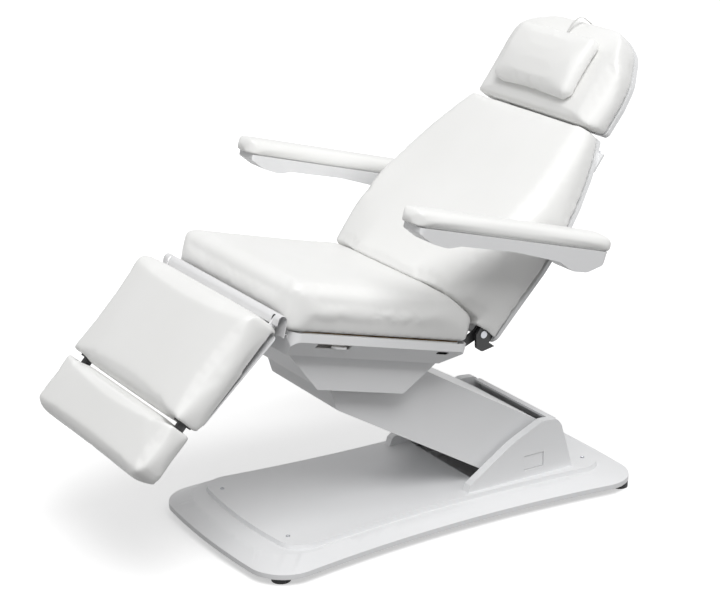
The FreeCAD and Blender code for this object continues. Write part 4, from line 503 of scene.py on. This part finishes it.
@dataclass
class Upholsterer:
    """Makes padded pieces.

    Attributes:
        bench: Where pieces are worked on.
        frames: Steps of the simulation.
        settle: Rounds of smoothing after it, which take small folds out.
        relax_factor: How far one round of smoothing moves a point.
        quality: Smaller steps inside each step.
        mass: Mass of each point of the skin, in kilograms.
        stretch_stiffness: How hard the skin is to stretch or to press together.
        shear_stiffness: How hard it is to shear.
        bend_stiffness: How hard it is to bend.
    """

    bench: Bench
    frames: int = 14
    settle: int = 3
    relax_factor: float = 0.5
    quality: int = 3
    mass: float = 0.3
    stretch_stiffness: float = 12.0
    shear_stiffness: float = 8.0
    bend_stiffness: float = 2.0

    def pad(self, node: str, body: str, padding: Padding) -> bpy.types.Object:
        """Grows one padded piece from its CAD solid.

        Args:
            node: CAD node that it stands for.
            body: CAD body that it rides on.
            padding: How it is made.

        Returns:
            The finished piece.
        """
        form = self.bench.copy_of(node, node + "_form")
        piece = self.bench.copy_of(node, node + "_skin")
        self.bench.apply(piece, "REMESH", mode="VOXEL", voxel_size=padding.cell_mm * MM)
        self._relax(piece, padding.smooth)
        self.bench.apply(piece, "SHRINKWRAP", target=form, wrap_method="NEAREST_SURFACEPOINT")
        bpy.data.objects.remove(form)
        self._relax(piece, padding.soften)
        self._swell(piece, padding)
        self._relax(piece, self.settle)
        self.bench.apply(piece, "SUBSURF", levels=1, render_levels=1)
        self.bench.deliver(piece, body, "white_vinyl", node)
        return piece

    def _relax(self, piece: bpy.types.Object, rounds: int) -> None:
        """Smooths the skin a little.

        Args:
            piece: The piece.
            rounds: How many rounds.
        """
        self.bench.apply(piece, "SMOOTH", factor=self.relax_factor, iterations=rounds)

    def _swell(self, piece: bpy.types.Object, padding: Padding) -> None:
        """Fills the skin by a short cloth simulation with capped movement.

        Args:
            piece: The piece.
            padding: How it is made.
        """
        mesh = piece.data
        start = [v.co - v.normal * (padding.draw_in_mm * MM) for v in mesh.vertices]
        for vertex, place in zip(mesh.vertices, start):
            vertex.co = place
        cloth = piece.modifiers.new("filling", "CLOTH")
        settings = cloth.settings
        settings.quality = self.quality
        settings.mass = self.mass
        settings.tension_stiffness = self.stretch_stiffness
        settings.compression_stiffness = self.stretch_stiffness
        settings.shear_stiffness = self.shear_stiffness
        settings.bending_stiffness = self.bend_stiffness
        settings.use_pressure = True
        settings.uniform_pressure_force = padding.pressure
        settings.effector_weights.gravity = 0.0
        cloth.collision_settings.use_collision = False
        cloth.collision_settings.use_self_collision = False
        cloth.point_cache.frame_start = 1
        cloth.point_cache.frame_end = self.frames
        scene = bpy.context.scene
        for number in range(1, self.frames + 1):
            scene.frame_set(number)
        graph = bpy.context.evaluated_depsgraph_get()
        moved = [v.co.copy() for v in piece.evaluated_get(graph).data.vertices]
        piece.modifiers.clear()
        scene.frame_set(1)
        cap = padding.cap_mm * MM
        for vertex, old, new in zip(mesh.vertices, start, moved):
            shift = new - old
            if shift.length > cap:
                shift *= cap / shift.length
            vertex.co = old + shift
        mesh.update()


@dataclass
class ScrewMaker:
    """Pan head screws with a cross recess, modelled once and copied.

    Attributes:
        bench: Where pieces are worked on.
        radius_mm: Radius of the head.
        height_mm: Height of the head.
        recess_mm: Length of the cross.
        blade_mm: Width of the cross's arms.
        deep_mm: Depth of the cross.
        sides: Corners of the head's outline.
        round_share: Width of the head's rounding as a share of its height.
        round_segments: Faces across the rounding.
        turn_deg: How far each screw is turned further than the one before it.
        pattern: The one screw that is copied, once it is modelled.
    """

    bench: Bench
    radius_mm: float = 5.0
    height_mm: float = 2.6
    recess_mm: float = 5.6
    blade_mm: float = 1.4
    deep_mm: float = 1.8
    sides: int = 28
    round_share: float = 0.62
    round_segments: int = 4
    turn_deg: float = 37.0
    pattern: bpy.types.Object | None = field(default=None, init=False)

    def _model(self) -> bpy.types.Object:
        """Models one screw at the origin, its head pointing up.

        Returns:
            The pattern that the copies are made from.
        """
        bpy.ops.object.select_all(action="DESELECT")
        bpy.ops.mesh.primitive_cylinder_add(
            vertices=self.sides, radius=self.radius_mm * MM, depth=self.height_mm * MM,
            location=(0.0, 0.0, self.height_mm * MM / 2),
        )
        head = bpy.context.object
        head.name = "screw_pattern"
        bpy.ops.object.transform_apply(location=True, rotation=True, scale=True)
        self.bench.apply(
            head, "BEVEL", width=self.height_mm * MM * self.round_share,
            segments=self.round_segments, limit_method="ANGLE", angle_limit=math.radians(60.0),
        )
        for turn in (0.0, math.pi / 2):
            bpy.ops.object.select_all(action="DESELECT")
            bpy.ops.mesh.primitive_cube_add(size=1.0, location=(0.0, 0.0, self.height_mm * MM))
            blade = bpy.context.object
            blade.scale = (self.recess_mm * MM, self.blade_mm * MM, self.deep_mm * 2 * MM)
            blade.rotation_euler = (0.0, 0.0, turn)
            bpy.ops.object.transform_apply(location=True, rotation=True, scale=True)
            self.bench.apply(head, "BOOLEAN", operation="DIFFERENCE", object=blade, solver="EXACT")
            bpy.data.objects.remove(blade)
        return head

    def place(self, name: str, spots: list[Spot], size: float = 1.0) -> bpy.types.Object:
        """Copies the screw to each spot and joins the copies.

        Args:
            name: Name of the joined piece.
            spots: Point on the surface and direction out of it, for each screw.
            size: Size against the pattern's.

        Returns:
            The joined piece.
        """
        if self.pattern is None:
            self.pattern = self._model()
        copies = []
        for index, (point, out) in enumerate(spots):
            copy = bpy.data.objects.new(f"{name}_{index}", self.pattern.data.copy())
            bpy.context.scene.collection.objects.link(copy)
            turn = out.to_track_quat("Z", "Y").to_matrix().to_4x4()
            spin = Matrix.Rotation(math.radians(self.turn_deg * index), 4, "Z")
            copy.data.transform(Matrix.Translation(point) @ turn @ spin @ Matrix.Scale(size, 4))
            copies.append(copy)
        bpy.ops.object.select_all(action="DESELECT")
        for copy in copies:
            copy.select_set(True)
        bpy.context.view_layer.objects.active = copies[0]
        bpy.ops.object.join()
        copies[0].name = name
        return copies[0]

    def fasten(self, name: str, panel: str, body: str, towards: Vector, shares: Shares) -> None:
        """Screws a panel on.

        Args:
            name: Name of the joined screws.
            panel: CAD node of the panel.
            body: CAD body that the screws ride on.
            towards: Rough direction that the panel's flat side faces.
            shares: Places of the screws.
        """
        spots = flat_spots(panel, towards, shares)
        if spots:
            self.bench.deliver(self.place(name, spots), body, "bright_steel")

    def clear(self) -> None:
        """Takes the pattern away once every copy is made."""
        if self.pattern is not None:
            bpy.data.objects.remove(self.pattern)
            self.pattern = None


def islands(node: str) -> list[Box]:
    """Finds a node's separate solids.

    Args:
        node: CAD node.

    Returns:
        The box of each solid, in rows from the foot end.
    """
    work = bmesh.new()
    work.from_mesh(frame["nodes"][node].data)
    bmesh.ops.remove_doubles(work, verts=work.verts, dist=MERGE)
    left = set(work.verts)
    found = []
    while left:
        stack, seen = [left.pop()], []
        while stack:
            vert = stack.pop()
            seen.append(vert.co.copy())
            for edge in vert.link_edges:
                other = edge.other_vert(vert)
                if other in left:
                    left.discard(other)
                    stack.append(other)
        low = Vector([min(p[k] for p in seen) for k in range(3)])
        high = Vector([max(p[k] for p in seen) for k in range(3)])
        found.append((low, high))
    work.free()
    # to a tenth of a millimetre, so that rows keep their order whatever the rounding
    return sorted(found, key=lambda corners: (round(corners[0].y, 4), round(corners[0].x, 4)))


def flat_spots(node: str, towards: Vector, shares: Shares) -> list[Spot]:
    """Finds places on the flat side of a panel.

    Args:
        node: CAD node of the panel.
        towards: Rough direction that the flat side faces.
        shares: Place across and upwards for each spot.

    Returns:
        The spots on the panel's surface; one that misses the panel is left out.
    """
    facing = 0.5  # least likeness of a face's direction to the one asked for
    reach = 0.1  # how far outside the panel the search for its surface starts
    panel = frame["nodes"][node]
    mesh = panel.data
    areas: dict[tuple[float, ...], float] = {}
    for face in mesh.polygons:
        if face.normal.dot(towards) > facing:
            key = tuple(round(c, 2) for c in face.normal)
            areas[key] = areas.get(key, 0.0) + face.area
    out = Vector(max(areas, key=areas.get)).normalized()
    along = out.cross(X_AXIS).normalized()
    if along.z < 0:
        along = -along
    spans = [v.co.dot(along) for v in mesh.vertices]
    low, high = min(spans), max(spans)
    depth = max(v.co.dot(out) for v in mesh.vertices)
    wide = max(abs(v.co.x) for v in mesh.vertices)
    spots = []
    for across, up in shares:
        point = X_AXIS * (wide * across) + along * (low + (high - low) * up) + out * depth
        hit, place, normal, _ = panel.ray_cast(point + out * reach, -out)
        if hit:
            spots.append((place, normal))
    return spots


# Sub-assemblies


@dataclass
class Base:
    """The floor base with its hood, panel, feet and everything inside.

    Attributes:
        bench: Where pieces are worked on.
        screws: Where screws come from.
        cover_edge_mm: Softened edge of the big covers.
        foot_edge_mm: Softened edge of the feet.
        covers: CAD nodes of the covers.
        inner: CAD nodes inside them.
    """

    bench: Bench
    screws: ScrewMaker
    cover_edge_mm: float = 3.5
    foot_edge_mm: float = 2.0
    covers: tuple[str, ...] = ("base_cover", "base_top_panel", "hood")
    inner: tuple[str, ...] = (
        "base_frame", "base_tray", "foot_studs", "hood_plates", "mains_inlet", "pivot_plates",
        "main_pivot_shaft", "link_pivot_shaft", "control_box",
    )

    def build(self) -> None:
        """Adds the panel's screws in place of their plain CAD ones."""
        plain = islands("panel_screws")
        spots = []
        for low, high in plain:
            middle = (low + high) / 2
            spots.append((Vector((middle.x, middle.y, high.z - self.screws.height_mm * MM)), UP))
        wide = max(high.x - low.x for low, high in plain)
        size = wide / (2 * self.screws.radius_mm * MM)
        heads = self.screws.place("panel_screw_heads", spots, size)
        self.bench.deliver(heads, "base", "bright_steel", "panel_screws")

    def dress(self) -> None:
        """Dresses the CAD nodes."""
        for node in self.covers:
            self.bench.dress(node, self.cover_edge_mm, COVER_SEGMENTS)
        for node in self.inner:
            self.bench.dress(node)
        self.bench.dress("levelling_feet", self.foot_edge_mm, COVER_SEGMENTS)


@dataclass
class LiftArm:
    """The lift arm, its link and the carrier at its front end.

    Attributes:
        bench: Where pieces are worked on.
        shroud_edge_mm: Softened edge of the shroud.
        steel: CAD nodes inside the shroud.
    """

    bench: Bench
    shroud_edge_mm: float = 3.5
    steel: tuple[str, ...] = ("arm_frame", "parallel_link", "carrier", "carrier_shafts")

    def dress(self) -> None:
        """Dresses the CAD nodes."""
        self.bench.dress("arm_shroud", self.shroud_edge_mm, COVER_SEGMENTS)
        for node in self.steel:
            self.bench.dress(node)


@dataclass
class Seat:
    """The seat with its pan, hopper-shaped cover, frame and side lever.

    Attributes:
        bench: Where pieces are worked on.
        upholsterer: Who pads it.
        padding: How the cushion is made.
        pan_edge_mm: Softened edge of the pan and of the cover under it.
        wrap_mm: Thickness of the leathercloth folded over the board's edge.
        inner_edge_mm: Softened edge of everything else.
        covers: CAD nodes of the pan and the cover.
        inner: CAD nodes of everything else.
    """

    bench: Bench
    upholsterer: Upholsterer
    padding: Padding = Padding(cell_mm=8.0, cap_mm=5.0, soften=9)
    pan_edge_mm: float = 2.5
    wrap_mm: float = 1.2
    inner_edge_mm: float = 0.8
    covers: tuple[str, ...] = ("seat_pan", "hopper_cover")
    inner: tuple[str, ...] = (
        "seat_frame", "tilt_shaft", "seat_board", "knee_cover", "knee_lugs", "knee_rod",
        "back_hinge_ears", "back_hinge_pins", "side_lever", "side_lever_pin",
    )

    def build(self) -> None:
        """Pads the seat and wraps the leathercloth round its board's edge."""
        self.upholsterer.pad("seat_cushion", "seat", self.padding)
        wrap = self.bench.copy_of("seat_board", "seat_board_wrap")
        flat = max(wrap.data.polygons, key=lambda face: face.area).normal.copy()
        level = 0.7  # least likeness of a face's direction to the board's flat side
        self.bench.take(wrap)
        bpy.ops.object.mode_set(mode="EDIT")
        bpy.ops.mesh.select_mode(type="FACE")
        bpy.ops.mesh.select_all(action="DESELECT")
        bpy.ops.object.mode_set(mode="OBJECT")
        for face in wrap.data.polygons:
            face.select = abs(face.normal.dot(flat)) > level
        bpy.ops.object.mode_set(mode="EDIT")
        # the board's top and underside go, and the band round its edge stays
        bpy.ops.mesh.delete(type="FACE")
        bpy.ops.object.mode_set(mode="OBJECT")
        self.bench.apply(wrap, "SOLIDIFY", thickness=self.wrap_mm * MM, offset=1.0)
        self.bench.deliver(wrap, "seat", "white_vinyl")

    def dress(self) -> None:
        """Dresses the CAD nodes."""
        for node in self.covers:
            self.bench.dress(node, self.pan_edge_mm, COVER_SEGMENTS)
        for node in self.inner:
            self.bench.dress(node, self.inner_edge_mm)


@dataclass
class Legs:
    """The leg section and the foot section that slides out of it.

    Attributes:
        bench: Where pieces are worked on.
        upholsterer: Who pads them.
        screws: Where screws come from.
        leg_padding: How the leg cushion is made.
        foot_padding: How the foot cushion is made.
        screw_shares: Places of the rear panel's screws.
        hard: CAD nodes of everything but the cushions.
    """

    bench: Bench
    upholsterer: Upholsterer
    screws: ScrewMaker
    leg_padding: Padding = Padding(cell_mm=7.5, cap_mm=4.5)
    foot_padding: Padding = Padding(cell_mm=7.0, cap_mm=4.0)
    screw_shares: Shares = ((-0.86, 0.14), (0.86, 0.14), (-0.86, 0.86), (0.86, 0.86))
    hard: tuple[str, ...] = (
        "leg_frame", "leg_back_panel", "slide_guides", "slide_rods", "foot_panel",
    )

    def build(self) -> None:
        """Pads both sections and screws the rear panel on."""
        self.upholsterer.pad("leg_cushion", "leg_section", self.leg_padding)
        self.upholsterer.pad("foot_cushion", "foot_section", self.foot_padding)
        self.screws.fasten(
            "leg_panel_screws", "leg_back_panel", "leg_section", LEG_REAR, self.screw_shares
        )

    def dress(self) -> None:
        """Dresses the CAD nodes."""
        for node in self.hard:
            self.bench.dress(node)


@dataclass
class Backrest:
    """The reclining back with its shell, hinges and armrest pivots.

    Attributes:
        bench: Where pieces are worked on.
        upholsterer: Who pads it.
        screws: Where screws come from.
        padding: How the cushion is made.
        shell_edge_mm: Softened edge of the rear shell.
        screw_shares: Places of the shell's screws.
        hard: CAD nodes of everything but the cushion and the shell.
    """

    bench: Bench
    upholsterer: Upholsterer
    screws: ScrewMaker
    padding: Padding = Padding(cell_mm=7.5, cap_mm=4.5)
    shell_edge_mm: float = 2.5
    screw_shares: Shares = (
        (-0.72, 0.12), (0.72, 0.12), (-0.8, 0.5), (0.8, 0.5), (-0.62, 0.9), (0.62, 0.9),
    )
    hard: tuple[str, ...] = (
        "back_frame", "back_hinge_brackets", "armrest_mounts", "headrest_hinge",
        "headrest_lever_pin", "headrest_lever",
    )

    def build(self) -> None:
        """Pads the back and screws its shell on."""
        self.upholsterer.pad("back_cushion", "backrest", self.padding)
        self.screws.fasten(
            "back_shell_screws", "back_shell", "backrest", BACK_REAR, self.screw_shares
        )

    def dress(self) -> None:
        """Dresses the CAD nodes."""
        self.bench.dress("back_shell", self.shell_edge_mm, COVER_SEGMENTS)
        for node in self.hard:
            self.bench.dress(node)


@dataclass
class Headrest:
    """The headrest with its pillow and the band that holds it.

    Attributes:
        bench: Where pieces are worked on.
        upholsterer: Who pads it.
        screws: Where screws come from.
        padding: How the headrest cushion is made.
        pillow_padding: How the pillow is made.
        band_edge_mm: Rounding of the band's edges.
        band_segments: Faces across the rounding.
        panel_edge_mm: Softened edge of the rear panel.
        screw_shares: Places of the rear panel's screws.
    """

    bench: Bench
    upholsterer: Upholsterer
    screws: ScrewMaker
    padding: Padding = Padding(cell_mm=6.0, cap_mm=2.5, pressure=3.0)
    pillow_padding: Padding = Padding(
        cell_mm=5.0, draw_in_mm=0.5, cap_mm=8.0, smooth=8, soften=12, fill=0.8
    )
    band_edge_mm: float = 0.4
    band_segments: int = 2
    panel_edge_mm: float = 2.5
    screw_shares: Shares = ((-0.6, 0.14), (0.6, 0.14), (-0.5, 0.8), (0.5, 0.8))

    def build(self) -> None:
        """Pads the headrest and the pillow, and adds the elastic band and the panel's screws."""
        self.upholsterer.pad("headrest_cushion", "headrest", self.padding)
        self.upholsterer.pad("pillow", "headrest", self.pillow_padding)
        band = self.bench.copy_of("pillow_strap", "pillow_band")
        self.bench.apply(
            band, "BEVEL", width=self.band_edge_mm * MM, segments=self.band_segments,
            limit_method="ANGLE", angle_limit=math.radians(50.0),
        )
        self.bench.deliver(band, "headrest", "elastic", "pillow_strap")
        self.screws.fasten(
            "headrest_panel_screws", "headrest_panel", "headrest", BACK_REAR, self.screw_shares
        )

    def dress(self) -> None:
        """Dresses the CAD nodes."""
        self.bench.dress("headrest_panel", self.panel_edge_mm, COVER_SEGMENTS)
        self.bench.dress("headrest_arms")


@dataclass
class Armrests:
    """Both armrests, each a pad on a moulded shell.

    Attributes:
        bench: Where pieces are worked on.
        upholsterer: Who pads them.
        padding: How a pad is made.
        shell_edge_mm: Softened edge of the shells.
        sides: The sitter's sides, as the nodes and bodies name them.
    """

    bench: Bench
    upholsterer: Upholsterer
    padding: Padding = Padding(cell_mm=4.5, draw_in_mm=1.2, cap_mm=2.5, smooth=4)
    shell_edge_mm: float = 2.5
    sides: tuple[str, str] = ("left", "right")

    def build(self) -> None:
        """Pads both armrests."""
        for side in self.sides:
            self.upholsterer.pad(f"armrest_pad_{side}", f"armrest_{side}", self.padding)

    def dress(self) -> None:
        """Dresses the CAD nodes."""
        for side in self.sides:
            self.bench.dress(f"armrest_shell_{side}", self.shell_edge_mm, COVER_SEGMENTS)


# Studio


@dataclass(frozen=True)
class Lamp:
    """A soft area light.

    Attributes:
        name: Name of the light.
        place: Where it hangs.
        target: What it faces.
        size: Width and depth of the panel.
        power: Watts.
    """

    name: str
    place: tuple[float, float, float]
    target: tuple[float, float, float]
    size: tuple[float, float]
    power: float


@dataclass
class Studio:
    """Camera, lamps, world and floor.

    Attributes:
        place: Where the camera stands.
        azimuth: Turn from looking along +Y, in degrees.
        elevation: Height above the horizon, in degrees.
        lens_mm: Focal length.
        sensor_mm: Width of the sensor.
        sight: Distance past which the camera sees nothing.
        lamps: The area lights.
        world_light: Strength of the even light all round.
        floor_colour: Colour of the floor as it lights the chair from below.
        seen_colour: Colour of the floor as the camera sees it.
        glow_near: Own light of the floor under the chair, as the camera sees it.
        glow_far: Own light of the floor far from the chair, as the camera sees it.
        glow_reach: Distance over which it grows.
        floor_size: Width of the floor.
    """

    place: tuple[float, float, float] = (4.2537, -2.6723, 2.3112)
    azimuth: float = 57.70
    elevation: float = 18.77
    lens_mm: float = 100.935
    sensor_mm: float = 36.0
    sight: float = 100.0
    lamps: tuple[Lamp, ...] = (
        Lamp("key", (4.5, -1.4, 7.6), (0.0, 0.0, 0.4), (5.0, 5.0), 540.0),
    )
    world_light: float = 0.46
    floor_colour: str = "#6E6E6E"
    seen_colour: str = "#DCDCDC"
    glow_near: float = 0.50
    glow_far: float = 0.85
    glow_reach: tuple[float, float] = (0.6, 2.4)
    floor_size: float = 60.0

    def build(self) -> None:
        """Sets the whole studio."""
        data = bpy.data.cameras.new("camera")
        data.lens = self.lens_mm
        data.sensor_width = self.sensor_mm
        data.clip_end = self.sight
        camera = bpy.data.objects.new("camera", data)
        camera.location = self.place
        tip = math.radians(90.0 - self.elevation)
        camera.rotation_euler = (tip, 0.0, math.radians(self.azimuth))
        bpy.context.scene.collection.objects.link(camera)
        bpy.context.scene.camera = camera
        for lamp in self.lamps:
            self._hang(lamp)
        self._set_world()
        self._lay_floor()
        bpy.context.scene.view_settings.view_transform = "Standard"

    @staticmethod
    def _hang(lamp: Lamp) -> None:
        """Adds one area light.

        Args:
            lamp: What to add.
        """
        data = bpy.data.lights.new(lamp.name, "AREA")
        data.shape = "RECTANGLE"
        data.size, data.size_y = lamp.size
        data.energy = lamp.power
        light = bpy.data.objects.new(lamp.name, data)
        light.location = lamp.place
        aim = Vector(lamp.target) - Vector(lamp.place)
        light.rotation_euler = aim.to_track_quat("-Z", "Y").to_euler()
        bpy.context.scene.collection.objects.link(light)

    @staticmethod
    def _seen(tree: bpy.types.NodeTree) -> bpy.types.NodeSocket:
        """Gives 1 for rays that show the background: camera, mirror and glass rays.

        Args:
            tree: Tree to add the nodes to.

        Returns:
            The socket with 1 or 0.
        """
        rays = add_node(tree, "LightPath", {}, {})
        either = add_node(
            tree, "Math", {"operation": "MAXIMUM"},
            {"0": rays.outputs["Is Camera Ray"], "1": rays.outputs["Is Glossy Ray"]},
        )
        both = add_node(
            tree, "Math", {"operation": "MAXIMUM"},
            {"0": either.outputs[0], "1": rays.outputs["Is Transmission Ray"]},
        )
        return both.outputs[0]

    def _set_world(self) -> None:
        """Sets a white backdrop and a plain level of light on the object."""
        world = bpy.data.worlds.new("world")
        bpy.context.scene.world = world
        world.use_nodes = True
        tree = world.node_tree
        tree.nodes.clear()
        seen = add_node(tree, "Background", {"Color": WHITE, "Strength": 1.0}, {})
        light = add_node(tree, "Background", {"Color": WHITE, "Strength": self.world_light}, {})
        mix = add_node(
            tree, "MixShader", {},
            {"0": self._seen(tree), "1": light.outputs[0], "2": seen.outputs[0]},
        )
        add_node(tree, "OutputWorld", {}, {"Surface": mix.outputs[0]})

    def _lay_floor(self) -> None:
        """Adds a pale floor that shows white to the camera and keeps soft shadows."""
        bpy.ops.object.select_all(action="DESELECT")
        bpy.ops.mesh.primitive_plane_add(size=self.floor_size, location=(0.0, 0.0, 0.0))
        floor = bpy.context.object
        floor.name = "floor"
        material = bpy.data.materials.new("painted_floor")
        material.use_nodes = True
        tree = material.node_tree
        tree.nodes.clear()
        paint = add_node(tree, "BsdfDiffuse", {"Color": linear(self.floor_colour)}, {})
        pale = add_node(tree, "BsdfDiffuse", {"Color": linear(self.seen_colour)}, {})
        place = add_node(tree, "NewGeometry", {}, {}).outputs["Position"]
        away = add_node(tree, "VectorMath", {"operation": "LENGTH"}, {"0": place})
        level = add_node(
            tree, "MapRange",
            {
                "From Min": self.glow_reach[0], "From Max": self.glow_reach[1],
                "To Min": self.glow_near, "To Max": self.glow_far,
            },
            {"Value": away.outputs["Value"]},
        )
        glow = add_node(tree, "Emission", {"Color": WHITE}, {"Strength": level.outputs["Result"]})
        both = add_node(tree, "AddShader", {}, {"0": pale.outputs[0], "1": glow.outputs[0]})
        mix = add_node(
            tree, "MixShader", {},
            {"0": self._seen(tree), "1": paint.outputs[0], "2": both.outputs[0]},
        )
        add_node(tree, "OutputMaterial", {}, {"Surface": mix.outputs[0]})
        floor.data.materials.append(material)


def main() -> None:
    """Builds the whole scene."""
    logging.basicConfig(level=logging.INFO, format="%(asctime)s %(message)s")
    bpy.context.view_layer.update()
    Studio().build()
    bench = Bench(PaintShop())
    upholsterer = Upholsterer(bench)
    screws = ScrewMaker(bench)
    base = Base(bench, screws)
    lift_arm = LiftArm(bench)
    seat = Seat(bench, upholsterer)
    legs = Legs(bench, upholsterer, screws)
    backrest = Backrest(bench, upholsterer, screws)
    headrest = Headrest(bench, upholsterer, screws)
    armrests = Armrests(bench, upholsterer)
    for section in (base, seat, legs, backrest, headrest, armrests):
        section.build()
    for section in (base, lift_arm, seat, legs, backrest, headrest, armrests):
        section.dress()
    screws.clear()


if __name__ == "__main__":
    main()
